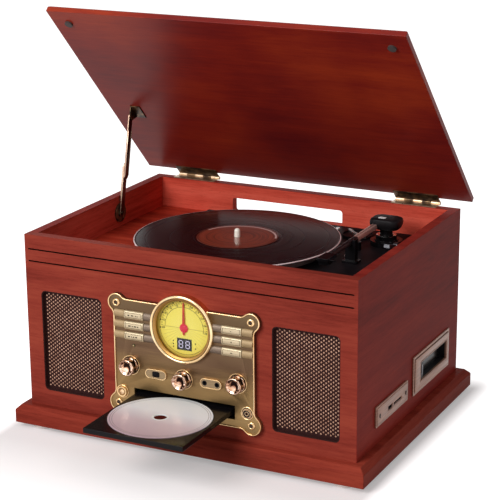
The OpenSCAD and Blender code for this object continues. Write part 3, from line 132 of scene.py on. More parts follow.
class Finish:
    """A material while it is made: a Principled shader, and the nodes that vary it over the piece."""

    def __init__(self, name, color, roughness=0.5, metallic=0.0, coat=0.0, specular=0.5):
        self.material = bpy.data.materials.new(name)
        self.material.use_nodes = True
        self.tree = self.material.node_tree
        self.shader = self.tree.nodes["Principled BSDF"]
        self.give("Base Color", (*color, 1.0))
        self.give("Roughness", roughness)
        self.give("Metallic", metallic)
        self.give("Coat Weight", coat)
        self.give("Coat Roughness", 0.08)
        self.give("Specular IOR Level", specular)

    def put(self, socket, value):
        if isinstance(value, Value):
            self.tree.links.new(value.socket, socket)
        else:
            socket.default_value = value

    def give(self, name, value):
        self.put(self.shader.inputs[name], value)

    def node(self, kind, settings=None, inputs=None, out=0):
        """Any node: its type, its settings, the values or links of its sockets, and the output wanted."""
        made = self.tree.nodes.new(kind)
        for name, value in (settings or {}).items():
            if name == "stops":
                ramp = made.color_ramp.elements
                while len(ramp) < len(value):
                    ramp.new(1.0)
                for stop, (place, color) in zip(ramp, value):
                    stop.position = place
                    stop.color = (*color, 1.0)
            else:
                setattr(made, name, value)
        for name, value in (inputs or {}).items():
            self.put(made.inputs[name], value)
        return Value(self, made.outputs[out])

    def coordinates(self):
        return self.node("ShaderNodeTexCoord", out="Object")

    def axes(self, centre=(0.0, 0.0, 0.0)):
        """The piece's X, Y and Z as three numbers, measured from a centre."""
        ends = {0: self.coordinates(), 1: centre}
        moved = self.node("ShaderNodeVectorMath", {"operation": "SUBTRACT"}, ends)
        split = self.node("ShaderNodeSeparateXYZ", inputs={0: moved})
        return [Value(self, split.socket.node.outputs[i]) for i in range(3)]

    def facing(self, axis):
        """How far a face looks along an axis, 0 to 2 for X to Z, from -1 to 1."""
        normal = self.node("ShaderNodeTexCoord", out="Normal")
        return self.node("ShaderNodeSeparateXYZ", inputs={0: normal}, out=axis)

    def stretched(self, scale):
        factors = {0: self.coordinates(), 1: scale}
        return self.node("ShaderNodeVectorMath", {"operation": "MULTIPLY"}, factors)

    def noise(self, scale, detail=3.0, where=None, roughness=0.5, distortion=0.0):
        inputs = {"Scale": scale, "Detail": detail, "Roughness": roughness, "Distortion": distortion}
        inputs["Vector"] = self.coordinates() if where is None else where
        return self.node("ShaderNodeTexNoise", inputs=inputs)

    def brushed(self, scale, stretch):
        """The fine streaks that a brush leaves, drawn out by the stretch."""
        return self.noise(scale, 6.0, self.stretched(stretch), roughness=0.7)

    def ramp(self, factor, *stops):
        return self.node("ShaderNodeValToRGB", {"stops": stops}, {0: factor})

    def mottled(self, scale, detail, *stops):
        """Varies the base colour in patches, and uneven does so for the roughness."""
        self.give("Base Color", self.ramp(self.noise(scale, detail), *stops))

    def uneven(self, low, spread, scale, detail):
        self.give("Roughness", low + self.noise(scale, detail) * spread)

    def mix(self, factor, first, second):
        """Two colours mixed by a factor."""
        inputs = {0: factor}
        for socket, color in ((6, first), (7, second)):
            inputs[socket] = color if isinstance(color, Value) else (*color, 1.0)
        return self.node("ShaderNodeMix", {"data_type": "RGBA"}, inputs, out=2)

    def bump(self, height, distance, strength=1.0):
        """Raises the surface by height times distance, in metres."""
        inputs = {"Strength": strength, "Distance": distance, "Height": height}
        self.give("Normal", self.node("ShaderNodeBump", inputs=inputs))


def added(piece):
    bpy.context.scene.collection.objects.link(piece)
    return piece


scene = bpy.context.scene
scene.view_settings.view_transform = "Standard"
camera_data = bpy.data.cameras.new("camera")
camera_data.lens = camera_data.sensor_width * focal_pixels / frame_pixels
camera = added(bpy.data.objects.new("camera", camera_data))
camera.matrix_world = (
    Matrix.Translation(camera_place)
    @ Matrix.Rotation(-camera_yaw, 4, "Z")
    @ Matrix.Rotation(math.pi / 2 - camera_pitch, 4, "X")
    @ Matrix.Rotation(camera_roll, 4, "Z")
)
scene.camera = camera

floor_grey = srgb(204, 200, 200)
floor_seen = srgb(240, 232, 232)
floor_finish = Finish("pale_floor", floor_grey, roughness=1.0, specular=0.0)


def hypot(across, up):
    squares = across * across + up * up
    return squares.math("SQRT", squares)


def seen_rays(finish):
    """One where the camera, a reflection or a refraction looks at the surface."""
    kinds = ("Camera", "Glossy", "Transmission")
    rays = [finish.node("ShaderNodeLightPath", out=f"Is {kind} Ray") for kind in kinds]
    return (rays[0] + rays[1] + rays[2]) > 0.5


# The floor's glow is painted light, set by the distance from the base: weak close to it, so that its shadow
# shows there, and rising farther out, soonest at the sides and the back, so that the lamp's cast shadow fades
# to white.
floor_x, floor_y, _ = floor_finish.axes()
beside_x = (abs(floor_x) - base_half_x) * side_fade
beside_y = (abs(floor_y) - base_half_y) * (1.0 + (floor_y > 0.0) * (rear_fade - 1.0))
beside = [away.math("MAXIMUM", away, 0.0) for away in (beside_x, beside_y)]
away = hypot(*beside)
brighter = away.math("SMOOTH_MIN", (away - glow_start) / glow_reach, 1.0, 0.1)
glow_level = glow_near + brighter.math("MAXIMUM", brighter, 0.0) * (glow_far - glow_near)
glow_inputs = {"Color": (1.0, 1.0, 1.0, 1.0), "Strength": glow_level}
glow = floor_finish.node("ShaderNodeEmission", inputs=glow_inputs)
lit = Value(floor_finish, floor_finish.shader.outputs[0])
seen = seen_rays(floor_finish)
floor_finish.give("Base Color", floor_finish.mix(seen, floor_grey, floor_seen))
surface = floor_finish.node("ShaderNodeMixShader", inputs={0: seen * glow_share, 1: lit, 2: glow})
floor_finish.tree.links.new(surface.socket, floor_finish.tree.nodes["Material Output"].inputs[0])
floor_corners = [(x * floor_reach, y * floor_reach, -floor_drop) for x, y in CORNERS]
floor_mesh = bpy.data.meshes.new("floor")
floor_mesh.from_pydata(floor_corners, [], [(0, 1, 2, 3)])
floor_mesh.materials.append(floor_finish.material)
floor = added(bpy.data.objects.new("floor", floor_mesh))
floor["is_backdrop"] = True

world = bpy.data.worlds.new("surround")
scene.world = world
world.use_nodes = True
surround = Finish.__new__(Finish)
surround.tree = world.node_tree
background = world.node_tree.nodes["Background"]
surround.put(background.inputs["Color"], surround.mix(seen_rays(surround), (ambient,) * 3, (seen_white,) * 3))


def lamp(name, place, size, power):
    """A square soft box at a place, turned to the object."""
    data = bpy.data.lights.new(name, "AREA")
    data.shape = "SQUARE"
    data.size = size
    data.energy = power
    light = added(bpy.data.objects.new(name, data))
    turned_to = (Vector(place) - lamp_aim).to_track_quat("Z", "Y")
    light.matrix_world = Matrix.Translation(place) @ turned_to.to_matrix().to_4x4()


lamp("key_lamp", (-0.8, -2.5, 1.8), size=1.6, power=66.0)
lamp("fill_lamp", (2.0, -0.9, 2.6), size=1.2, power=7.5)

# The front panel: board faced with mahogany veneer and lacquered, cut out for the loudspeakers and the
# fascia, with two black grooves under the rim. It stands on the base, in front of the two sides.
front_low, front_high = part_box("front_panel")
front_y = front_low.y
groove_depth = 2.2 * mm
groove_h = 1.8 * mm
groove_drops = (17.7 * mm, 32.5 * mm)
groove_end = 4.5 * mm
skin_edge = 0.5 * mm
hole_w = 156 * mm
hole_h = 128 * mm
hole_z = 116 * mm
grille_low, grille_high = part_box("speaker_grilles")
opening_w = 83.5 * mm
opening_corner = 6 * mm
opening_x = grille_high.x - opening_w / 2
opening_z = (grille_low.z + grille_high.z) / 2
opening_h = grille_high.z - grille_low.z
weld_gap = 0.002 * mm
arris_angle = 40


def at(x, y, z=0.0):
    return Matrix.Translation((x, y, z))


ON_FRONT = at(0, front_y) @ Matrix.Rotation(math.pi / 2, 4, "X")


def wood(name, tones, turns=True, gloss=0.0, streaks=0.45, clouds=0.2, contrast=0.1, stains_and_painted_light=()):
    """Lacquered veneer in pale, mid and dark tones. The grain runs along X, and turns to Y on faces that
    look to a side. Other tones hold where their masks say, some the wood's own and some painted light."""
    grain_stretch = 12.0
    pore_strength = 0.22
    pore_shade = 0.35
    finish = Finish(name, tones[1], roughness=0.34, coat=gloss, specular=0.01)
    coordinates = finish.coordinates()
    along_x = (1.0, grain_stretch, grain_stretch)
    along_y = (grain_stretch, 1.0, grain_stretch)
    sideways = abs(finish.facing(0)) > 0.7 if turns else 0.0
    choice = {0: sideways, 4: along_x, 5: along_y}
    stretch = finish.node("ShaderNodeMix", {"data_type": "VECTOR"}, choice, out=1)
    factors = {0: coordinates, 1: stretch}
    grain = finish.node("ShaderNodeVectorMath", {"operation": "MULTIPLY"}, factors)
    figure = finish.noise(3.2, 4.0, grain, roughness=0.55, distortion=0.8)
    cloud = finish.noise(6.0, 3.0, coordinates)
    fibre = finish.noise(26.0, 5.0, grain, roughness=0.7)
    pores = finish.noise(150.0, 2.0, grain, roughness=0.6)
    tone = figure * streaks + cloud * clouds + fibre * (1.0 - streaks - clouds)
    stops = (0.5 - contrast, 0.5, 0.5 + contrast)
    color = finish.ramp(tone, *zip(stops, tones[::-1]))
    for where, overlay in stains_and_painted_light:
        color = finish.mix(where(finish), color, finish.ramp(tone, *zip(stops, overlay[::-1])))
    pore_mask = (pores < 0.38) * (fibre < 0.52)
    color = finish.mix(pore_mask * pore_strength, color, tuple(c * pore_shade for c in tones[2]))
    finish.give("Base Color", color)
    finish.give("Roughness", 0.3 + fibre * 0.12)
    finish.bump(fibre * 0.6 - pore_mask * 0.4, 0.03 * mm, 0.5)
    return finish


def path(corners, steps=5):
    """A closed outline through corners (x, y, radius), each rounded with an arc."""
    points = []
    for i, (x, y, radius) in enumerate(corners):
        corner = Vector((x, y))
        if radius <= 0:
            points.append(corner)
            continue
        before = (Vector(corners[i - 1][:2]) - corner).normalized()
        after = (Vector(corners[(i + 1) % len(corners)][:2]) - corner).normalized()
        half = before.angle(after) / 2
        centre = corner + (before + after).normalized() * (radius / math.sin(half))
        start = (corner + before * (radius / math.tan(half)) - centre).normalized()
        end = (corner + after * (radius / math.tan(half)) - centre).normalized()
        for k in range(steps + 1):
            points.append(centre + start.slerp(end, k / steps) * radius)
    return points


def oblong(w, h, radius, x=0.0, y=0.0, steps=5):
    """A rectangle with rounded corners, round its middle."""
    return path([(x + sx * w / 2, y + sy * h / 2, radius) for sx, sy in CORNERS], steps)


def round_outline(radius, x=0.0, y=0.0, steps=48):
    turns = [2 * math.pi * k / steps for k in range(steps)]
    return [Vector((x + radius * math.cos(a), y + radius * math.sin(a))) for a in turns]


def plate(outlines, low, high, edge=0.0):
    """A flat plate from low to high. The first outline is its edge, the others are its holes.

    The curve is drawn in millimetres, because the filling of small holes fails in metres."""
    curve = bpy.data.curves.new("outline", "CURVE")
    curve.dimensions = "2D"
    curve.fill_mode = "BOTH"
    curve.extrude = ((high - low) / 2 - edge) / mm
    curve.bevel_depth = edge / mm
    curve.bevel_resolution = 1
    curve.offset = -edge / mm
    for index, points in enumerate(outlines):
        area = sum(p.x * q.y - q.x * p.y for p, q in zip(points, points[1:] + points[:1]))
        if (area > 0) != (index == 0):
            points = points[::-1]
        spline = curve.splines.new("POLY")
        spline.points.add(len(points) - 1)
        for point, place in zip(spline.points, points):
            point.co = (place.x / mm, place.y / mm, 0.0, 1.0)
        spline.use_cyclic_u = True
    holder = added(bpy.data.objects.new("outline", curve))
    bpy.context.view_layer.update()
    mesh = bpy.data.meshes.new_from_object(holder.evaluated_get(bpy.context.evaluated_depsgraph_get()))
    mesh.transform(at(0, 0, (low + high) / 2) @ Matrix.Scale(mm, 4))
    bpy.data.objects.remove(holder)
    return mesh


def fitted(piece, body, slot, *nodes):
    """The piece rides on a body and stands for CAD nodes, which it hides. The slot is not used."""
    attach(piece, body)
    if nodes:
        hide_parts(*nodes)


def mount(name, parts, finish, body, slot, *nodes, sharp=arris_angle):
    """Fits one object made of meshes and their places, welded, faces outwards, its arrises crisp."""
    bm = bmesh.new()
    for mesh, place in parts:
        part = bmesh.new()
        part.from_mesh(mesh)
        bmesh.ops.remove_doubles(part, verts=part.verts, dist=weld_gap)
        bmesh.ops.recalc_face_normals(part, faces=part.faces)
        part.transform(place)
        if place.determinant() < 0:
            bmesh.ops.reverse_faces(part, faces=part.faces)
        joined = bpy.data.meshes.new("part")
        part.to_mesh(joined)
        part.free()
        bm.from_mesh(joined)
        bpy.data.meshes.remove(joined)
    mesh = bpy.data.meshes.new(name)
    bm.to_mesh(mesh)
    bm.free()
    mesh.materials.clear()
    mesh.materials.append(finish.material)
    for face in mesh.polygons:
        face.material_index = 0
        face.use_smooth = True
    mesh.set_sharp_from_angle(angle=math.radians(sharp))
    fitted(added(bpy.data.objects.new(name, mesh)), body, slot, *nodes)


def behind_skin(finish):
    """The walls of the panel's openings, behind their front edge."""
    x, y, z = finish.axes()
    inner = (y > front_y + skin_edge) * (y < front_high.y - skin_edge)
    return inner * (abs(x) < front_high.x - 2 * mm) * (z < front_high.z - 2 * mm)


def end_faces(finish):
    x, _, _ = finish.axes()
    return abs(x) > front_high.x - 0.3 * mm


front_tones = (srgb(168, 74, 57), srgb(150, 60, 48), srgb(121, 44, 36))
groove_black = (srgb(18, 9, 8),) * 3
outer_tones = (srgb(170, 62, 50), srgb(150, 50, 42), srgb(120, 38, 33))
front_stains = ((behind_skin, groove_black), (end_faces, outer_tones))
front_veneer = wood("front_veneer", front_tones, contrast=0.16, stains_and_painted_light=front_stains)
front_w = front_high.x - front_low.x
front_mid = (front_low.z + front_high.z) / 2
front_edge = oblong(front_w, front_high.z - front_low.z, 0, 0, front_mid)
fascia_hole = oblong(hole_w, hole_h, 0, 0, hole_z)
speakers = [(s * opening_x, opening_z) for s in (-1, 1)]
holes = [fascia_hole, *[oblong(opening_w, opening_h, opening_corner, *middle) for middle in speakers]]
groove_w = front_w - 2 * groove_end
grooves = [oblong(groove_w, groove_h, groove_h / 2.01, 0, front_high.z - drop) for drop in groove_drops]
skin = plate([front_edge, *holes, *grooves], -groove_depth, 0)
core = plate([front_edge, *holes], front_y - front_high.y, -groove_depth - 0.01 * mm)
mount("front_board", [(skin, ON_FRONT), (core, ON_FRONT)], front_veneer, "cabinet", "veneer", "front_panel")

# The other cabinet walls and the base: the same veneered board, butted to the front, and a solid base
# moulding with a sloped upper edge, its four lengths mitred at the corners.


def softened(node, name, finish, width, body, slot):
    """Fits a welded copy of a CAD node's mesh with its arrises rounded, in the node's place."""
    sharp = math.radians(35)
    bm = bmesh.new()
    bm.from_mesh(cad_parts[node].data)
    for layer in list(bm.loops.layers.uv):
        bm.loops.layers.uv.remove(layer)
    bmesh.ops.remove_doubles(bm, verts=bm.verts, dist=0.004 * mm)
    bmesh.ops.dissolve_limit(bm, angle_limit=math.radians(1), verts=bm.verts, edges=bm.edges)
    plain = bpy.data.meshes.new(name)
    bm.to_mesh(plain)
    bm.free()
    mesh = bpy.data.meshes.new(name)
    faces = [tuple(face.vertices) for face in plain.polygons]
    mesh.from_pydata([vertex.co for vertex in plain.vertices], [], faces)
    bpy.data.meshes.remove(plain)
    mesh.materials.append(finish.material)
    mesh.polygons.foreach_set("use_smooth", [True] * len(mesh.polygons))
    mesh.set_sharp_from_angle(angle=sharp)
    piece = added(bpy.data.objects.new(name, mesh))
    bevel = piece.modifiers.new("arris", "BEVEL")
    bevel.width = width
    bevel.segments = 2
    bevel.limit_method = "ANGLE"
    bevel.angle_limit = sharp
    bevel.use_clamp_overlap = True
    bevel.harden_normals = True
    bevel.miter_outer = "MITER_ARC"
    bpy.context.view_layer.update()
    baked = bpy.data.meshes.new_from_object(piece.evaluated_get(bpy.context.evaluated_depsgraph_get()))
    piece.modifiers.clear()
    piece.data = baked
    fitted(piece, body, slot, node)


def dress(finish, *nodes):
    """Gives CAD nodes that stay in view their finish."""
    for node in nodes:
        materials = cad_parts[node].data.materials
        materials.clear()
        materials.append(finish.material)


well_x = 204 * mm
well_y = 164 * mm
rim_z = 243 * mm


def inside_well(finish):
    x, y, z = finish.axes()
    return (abs(x) < well_x) * (abs(y) < well_y) * (z < rim_z)


# The inner faces of the well are painted in lighter tones: painted light for the light that falls and bounces
# inside it.
well_painted_light_tones = (srgb(232, 104, 84), srgb(216, 86, 68), srgb(184, 60, 44))
cabinet_veneer = wood("cabinet_veneer", outer_tones, contrast=0.15, stains_and_painted_light=((inside_well, well_painted_light_tones),))
for node in ("rear_panel", "left_panel", "right_panel"):
    softened(node, node + "_board", cabinet_veneer, 0.35 * mm, "cabinet", "veneer")
plinth_tones = (srgb(168, 70, 53), srgb(146, 56, 43), srgb(112, 38, 30))
plinth_veneer = wood("plinth_veneer", plinth_tones, contrast=0.15)
softened("base_plinth", "plinth", plinth_veneer, 0.8 * mm, "cabinet", "veneer")
deck_tones = (srgb(196, 74, 52), srgb(174, 58, 40), srgb(140, 40, 28))
dress(wood("deck_veneer", deck_tones, gloss=0.2), "deck_board")

# The lid: one board with a chamfered upper edge, veneered and polished on both faces. It hangs on two
# hinges and a stay, with two rubber pads near its front corners.
lid_tones = (srgb(168, 56, 30), srgb(140, 38, 28), srgb(106, 24, 27))
lid_veneer = wood("lid_veneer", lid_tones, turns=False, gloss=0.3, streaks=0.2, clouds=0.6, contrast=0.13)
lid_veneer.give("Coat Roughness", 0.3)
softened("lid", "lid_board", lid_veneer, 0.6 * mm, "lid", "veneer")
rubber = Finish("pad_rubber", srgb(58, 48, 46), roughness=0.7)
rubber.bump(rubber.noise(900.0, 2.0), 0.05 * mm)
dress(rubber, "lid_pads")

# The underside: a bare fibreboard panel with a row of vents, and four spun silver feet on dark pads.
bare_board = Finish("bare_fibreboard", srgb(168, 136, 100), roughness=0.85, specular=0.2)
speckle = bare_board.noise(420.0, 4.0)
board_tones = ((0.35, srgb(132, 102, 72)), (0.65, srgb(186, 154, 116)))
bare_board.give("Base Color", bare_board.ramp(speckle, *board_tones))
bare_board.bump(speckle, 0.08 * mm)
dress(bare_board, "bottom_panel")
silver = Finish("foot_silver", srgb(236, 226, 222), roughness=0.28, metallic=0.3)
silver.uneven(0.22, 0.2, 60.0, 2.0)
dress(silver, "feet")

# The loudspeakers: a dark frame lines each opening and holds a woven mesh of beige wire on dark cloth.
# Behind it sits the driver, a pressed steel basket with its cone and magnet.
black = Finish("black_plastic", srgb(24, 22, 24), roughness=0.42, specular=0.15)
black_grain = black.noise(1400.0, 2.0)
black.give("Roughness", 0.36 + black_grain * 0.16)
black.bump(black_grain, 0.03 * mm)
cloth = Finish("grille_cloth", srgb(44, 24, 22), roughness=0.8, specular=0.2)
cloth.mottled(700.0, 2.0, (0.3, srgb(34, 12, 12)), (0.7, srgb(58, 26, 22)))
dress(cloth, "speaker_grilles")


def grow(name, finish, sizes, build, place=Matrix.Identity(4)):
    """A mesh from a Geometry Nodes tree. The sizes are its named inputs, and build adds its nodes."""
    tree = bpy.data.node_groups.new(name, "GeometryNodeTree")
    tree.interface.new_socket("Geometry", in_out="OUTPUT", socket_type="NodeSocketGeometry")
    kinds = {int: "NodeSocketInt", float: "NodeSocketFloat", tuple: "NodeSocketVector"}
    keys = {}
    for label, value in sizes.items():
        socket = tree.interface.new_socket(label, in_out="INPUT", socket_type=kinds[type(value)])
        keys[label] = socket.identifier
    entry = tree.nodes.new("NodeGroupInput")
    sink = tree.nodes.new("NodeGroupOutput")

    def node(kind, settings=None, inputs=None, out=0):
        made = tree.nodes.new(kind)
        for key, value in (settings or {}).items():
            setattr(made, key, value)
        for key, value in (inputs or {}).items():
            if isinstance(value, bpy.types.NodeSocket):
                tree.links.new(value, made.inputs[key])
            else:
                made.inputs[key].default_value = value
        return made.outputs[out]

    shape = build(node, entry.outputs)
    real = node("GeometryNodeRealizeInstances", inputs={"Geometry": shape})
    painted = node("GeometryNodeSetMaterial", inputs={"Geometry": real, "Material": finish.material})
    tree.links.new(painted, sink.inputs[0])
    piece = added(bpy.data.objects.new(name, bpy.data.meshes.new(name)))
    grower = piece.modifiers.new("grow", "NODES")
    grower.node_group = tree
    for label, value in sizes.items():
        grower[keys[label]] = value
    bpy.context.view_layer.update()
    mesh = bpy.data.meshes.new_from_object(piece.evaluated_get(bpy.context.evaluated_depsgraph_get()))
    piece.modifiers.clear()
    mesh.transform(place)
    piece.data = mesh
    return piece


wire_pitch_x = 6 * mm
wire_pitch_z = 4.75 * mm
wire_size = (1.14 * mm, 1.24 * mm, 0.6 * mm)
mesh_margin = 2.4 * mm
backing_t = 1 * mm
backing_corner = 5 * mm
mesh_y = grille_high.y - 6.2 * mm


def weave(node, sizes):
    """Two grids of small raised wires, the second half a step aside, as a plain weave shows them."""
    wire = node("GeometryNodeMeshIcoSphere", inputs={"Radius": 1.0, "Subdivisions": 1})
    wire = node("GeometryNodeTransform", inputs={"Geometry": wire, "Scale": sizes["Wire"]})
    both = node("GeometryNodeJoinGeometry")
    for offset in (0.0, 0.5):
        grid = node("GeometryNodeMeshGrid", inputs={
            "Size X": sizes["Width"], "Size Y": sizes["Height"],
            "Vertices X": sizes["Across"], "Vertices Y": sizes["Up"],
        })
        step = {0: sizes["Step"], "Scale": offset}
        aside = node("ShaderNodeVectorMath", {"operation": "SCALE"}, step)
        moved = node("GeometryNodeTransform", inputs={"Geometry": grid, "Translation": aside})
        spread = node("GeometryNodeInstanceOnPoints", inputs={"Points": moved, "Instance": wire})
        both.node.id_data.links.new(spread, both.node.inputs[0])
    return both


beige = Finish("grille_wire", srgb(176, 140, 122), roughness=0.45, specular=0.4)
beige.mottled(90.0, 2.0, (0.35, srgb(186, 138, 112)), (0.65, srgb(226, 178, 150)))
wire_columns = int((opening_w - 2 * mesh_margin) / wire_pitch_x)
wire_rows = int((opening_h - 2 * mesh_margin) / wire_pitch_z)
sizes = {
    "Width": (wire_columns - 1) * wire_pitch_x, "Height": (wire_rows - 1) * wire_pitch_z,
    "Across": wire_columns, "Up": wire_rows, "Step": (wire_pitch_x, wire_pitch_z, 0.0), "Wire": wire_size,
}
for side, label in ((-1, "left"), (1, "right")):
    middle = at(side * opening_x - wire_pitch_x / 4, mesh_y, opening_z - wire_pitch_z / 4)
    upright = middle @ Matrix.Rotation(math.pi / 2, 4, "X")
    wires = grow(f"grille_wires_{label}", beige, sizes, weave, upright)
    fitted(wires, "cabinet", "grille_mesh")
    backing_edge = oblong(opening_w, opening_h, backing_corner, side * opening_x, opening_z)
    backing = plate([backing_edge], 0, backing_t)
    behind_wires = at(0, mesh_y + backing_t - front_y) @ ON_FRONT
    mount(f"grille_backing_{label}", [(backing, behind_wires)], cloth, "cabinet", "grille_mesh")
steel = Finish("driver_steel", srgb(96, 96, 100), roughness=0.4, metallic=0.7)
steel.uneven(0.32, 0.2, 90.0, 3.0)
dress(steel, "speaker_drivers", "deck_motor")

# The fascia: a lobed casting, antiqued and brushed, painted lighter and more golden towards its foot as
# painted light, with a bright raised rim, three half-round ribs on each side, collars for the knobs and two
# raised oval plates. Four screws hold it to the front panel.
dial_low, dial_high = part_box("dial_bezel")
dial_z = (dial_low.z + dial_high.z) / 2
bezel_r = (dial_high.x - dial_low.x) / 2
fascia_w = 183 * mm
fascia_bottom = 48 * mm
fascia_top = 183.4 * mm
fascia_t = 5 * mm
lobe_inset = 4.2 * mm
lobe_drop = 5.7 * mm
lobe_top_r = 11.2 * mm
lobe_low_r = 12.2 * mm
lobe_fillet = 9 * mm
rim_w = 1.6 * mm
rim_h = 1.2 * mm
lobe_x = fascia_w / 2 - lobe_inset


def arc(centre, radius, start, end, steps):
    """Points along an arc, from one direction to another, in degrees."""
    turns = [math.radians(start + (end - start) * k / steps) for k in range(steps + 1)]
    return [Vector((centre[0] + radius * math.cos(a), centre[1] + radius * math.sin(a))) for a in turns]


def fascia_edge(inset=0.0):
    """The fascia's outline, moved inwards, from the dial's left side round to its right side."""
    quarter = {}
    for top in (False, True):
        radius = lobe_top_r if top else lobe_low_r
        reach = radius + lobe_fillet
        side_dx = lobe_inset + lobe_fillet
        side_dz = math.sqrt(reach**2 - side_dx**2)
        flat_dz = lobe_drop + lobe_fillet
        flat_dx = math.sqrt(reach**2 - flat_dz**2)
        side_turn = math.degrees(math.atan2(side_dz, side_dx))
        flat_turn = math.degrees(math.atan2(flat_dz, flat_dx))
        lobe = (lobe_x, lobe_drop)
        side_hollow = (lobe_x + side_dx, lobe_drop + side_dz)
        flat_hollow = (lobe_x - flat_dx, lobe_drop - flat_dz)
        points = arc(flat_hollow, lobe_fillet + inset, 90, flat_turn, steps=6)
        points += arc(lobe, radius - inset, flat_turn - 180, side_turn, steps=26)[1:]
        points += arc(side_hollow, lobe_fillet + inset, side_turn + 180, 180, steps=6)[1:]
        quarter[top] = points
    low_right = [Vector((p.x, fascia_bottom + p.y)) for p in quarter[False]]
    top_right = [Vector((p.x, fascia_top - p.y)) for p in quarter[True]][::-1]
    top = fascia_top - inset
    at_dial = math.sqrt((bezel_r - 0.2 * mm) ** 2 - (top - dial_z) ** 2)
    right = low_right + top_right + [Vector((at_dial, top))]
    return [Vector((-p.x, p.y)) for p in right[::-1]] + right


brass = Finish("antique_brass", srgb(118, 96, 74), roughness=0.38, metallic=0.85)
_, _, brass_up = brass.axes((0.0, 0.0, fascia_bottom))
brush = brass.brushed(9.0, (4.0, 60.0, 300.0))
# Painted light: the casting's tone is lighter and more golden towards its foot, and darker above.
painted_light_fade = brass_up / (fascia_top - fascia_bottom) + (brush - 0.5) * 0.35
painted_light_fade = painted_light_fade + (brass.noise(14.0, 2.0) - 0.5) * 0.3
brass_tones = (
    (0.0, srgb(152, 124, 82)), (0.3, srgb(140, 112, 72)), (0.55, srgb(98, 74, 54)), (1.0, srgb(102, 82, 58)),
)
brass.give("Base Color", brass.ramp(painted_light_fade, *brass_tones))
brass.give("Roughness", 0.34 + brush * 0.2)
brass.bump(brush, 0.03 * mm, 0.6)
slot_low = 57.5 * mm
slot_high = 74.5 * mm
slot_w = 132.6 * mm
button_x = 63.6 * mm
button_w = 25 * mm
button_h = 9.3 * mm
button_up = 7.5 * mm
row_pitch = 13 * mm
button_rows = [dial_z + button_up - row_pitch * row for row in range(3)]
round_x = 82 * mm
round_z = 68 * mm
round_r = 6.5 * mm
oval_x = 36 * mm
oval_z = 96.5 * mm
oval_w = 28 * mm
oval_h = 12 * mm
knob_places = [(-70 * mm, 102.5 * mm), (0.0, 96 * mm), (70 * mm, 102.5 * mm)]
led_place = (-65.4 * mm, 127.4 * mm)
jack_offset = 8 * mm
window_w = 10 * mm
window_h = 7 * mm
window_corner = 2.2 * mm
led_r = 1.45 * mm
key_gap = 0.8 * mm
key_spots = [(s * button_x, z) for s in (-1, 1) for z in button_rows]
jack_spots = [(oval_x + s * jack_offset, oval_z) for s in (-1, 1)]
fascia_holes = [oblong(button_w + key_gap, button_h + key_gap, 0.3 * mm, *spot) for spot in key_spots]
fascia_holes += [round_outline(3.5 * mm, *place, 24) for place in knob_places]
fascia_holes += [round_outline(round_r + 0.3 * mm, s * round_x, round_z) for s in (-1, 1)]
fascia_holes += [oblong(slot_w, slot_high - slot_low, 0.4 * mm, 0, (slot_low + slot_high) / 2)]
window_hole = oblong(window_w, window_h, window_corner, -oval_x, oval_z)
fascia_holes += [window_hole]
fascia_holes += [round_outline(3 * mm, *spot, 24) for spot in jack_spots]
fascia_holes += [round_outline(led_r, *led_place, 16)]
casting_edge = fascia_edge(0.1 * mm)
dial_turn = math.degrees(math.atan2(casting_edge[-1].y - dial_z, casting_edge[-1].x))
casting_edge += arc((0, dial_z), bezel_r - 0.1 * mm, dial_turn, -180 - dial_turn, steps=72)[1:-1]
casting = plate([casting_edge, *fascia_holes], 0.1 * mm, fascia_t, 0.2 * mm)


def loft(outlines, closed=True):
    """A skin through outlines of equal count, each a list of points. Closed, it returns to the first."""
    bm = bmesh.new()
    rings = [[bm.verts.new(point) for point in outline] for outline in outlines]
    last = rings[1:] + (rings[:1] if closed else [])
    for low, high in zip(rings, last):
        for i in range(len(low)):
            j = (i + 1) % len(low)
            bm.faces.new((low[i], low[j], high[j], high[i]))
    if not closed:
        bm.faces.new(rings[0][::-1])
        bm.faces.new(rings[-1])
    mesh = bpy.data.meshes.new("loft")
    bm.to_mesh(mesh)
    bm.free()
    return mesh


rim_section = (
    (0.0, 0.0), (0.0, 0.6), (0.12, 0.85), (0.35, 1.0), (0.65, 1.0), (0.88, 0.85), (1.0, 0.6), (1.0, 0.0),
)
rim_foot = 0.4 * mm
rim_rings = []
for inward, up in rim_section:
    height = fascia_t + rim_h * up - (1 - min(1, up * 9)) * rim_foot
    rim_rings.append([p.to_3d() + Vector((0, 0, height)) for p in fascia_edge(rim_w * inward)])
rim = loft([list(section) for section in zip(*rim_rings)], closed=False)
mount("fascia_casting", [(casting, ON_FRONT)], brass, "cabinet", "antique_brass", "fascia")
bright = Finish("bright_brass", srgb(226, 190, 138), roughness=0.2, metallic=1.0)
bright.mottled(40.0, 3.0, (0.3, srgb(208, 168, 118)), (0.7, srgb(240, 210, 162)))
bright.uneven(0.14, 0.16, 240.0, 3.0)
mount("fascia_rim", [(rim, ON_FRONT)], bright, "cabinet", "bright_brass")


def relief(xs, ys, height, base):
    """A block under a height field: its grid lines, the height at each crossing, and its flat base."""
    bm = bmesh.new()
    top = [[bm.verts.new((x, y, height(x, y))) for x in xs] for y in ys]
    low = [[bm.verts.new((x, y, base)) for x in xs] for y in ys]
    columns = range(len(xs) - 1)
    rows = range(len(ys) - 1)
    for j in rows:
        for i in columns:
            bm.faces.new((top[j][i], top[j][i + 1], top[j + 1][i + 1], top[j + 1][i]))
            bm.faces.new((low[j][i], low[j + 1][i], low[j + 1][i + 1], low[j][i + 1]))
        for i in (0, -1):
            bm.faces.new((low[j][i], top[j][i], top[j + 1][i], low[j + 1][i]))
    for i in columns:
        for j in (0, -1):
            bm.faces.new((low[j][i], low[j][i + 1], top[j][i + 1], top[j][i]))
    mesh = bpy.data.meshes.new("relief")
    bm.to_mesh(mesh)
    bm.free()
    return mesh


def crown(y, width, rise):
    """The height of a half-round bar at a distance from its middle."""
    radius = (width**2 / 4 + rise**2) / (2 * rise)
    return rise - radius + math.sqrt(max(0.0, radius**2 - y**2))


def spread(low, high, count):
    return [low + (high - low) * k / count for k in range(count + 1)]


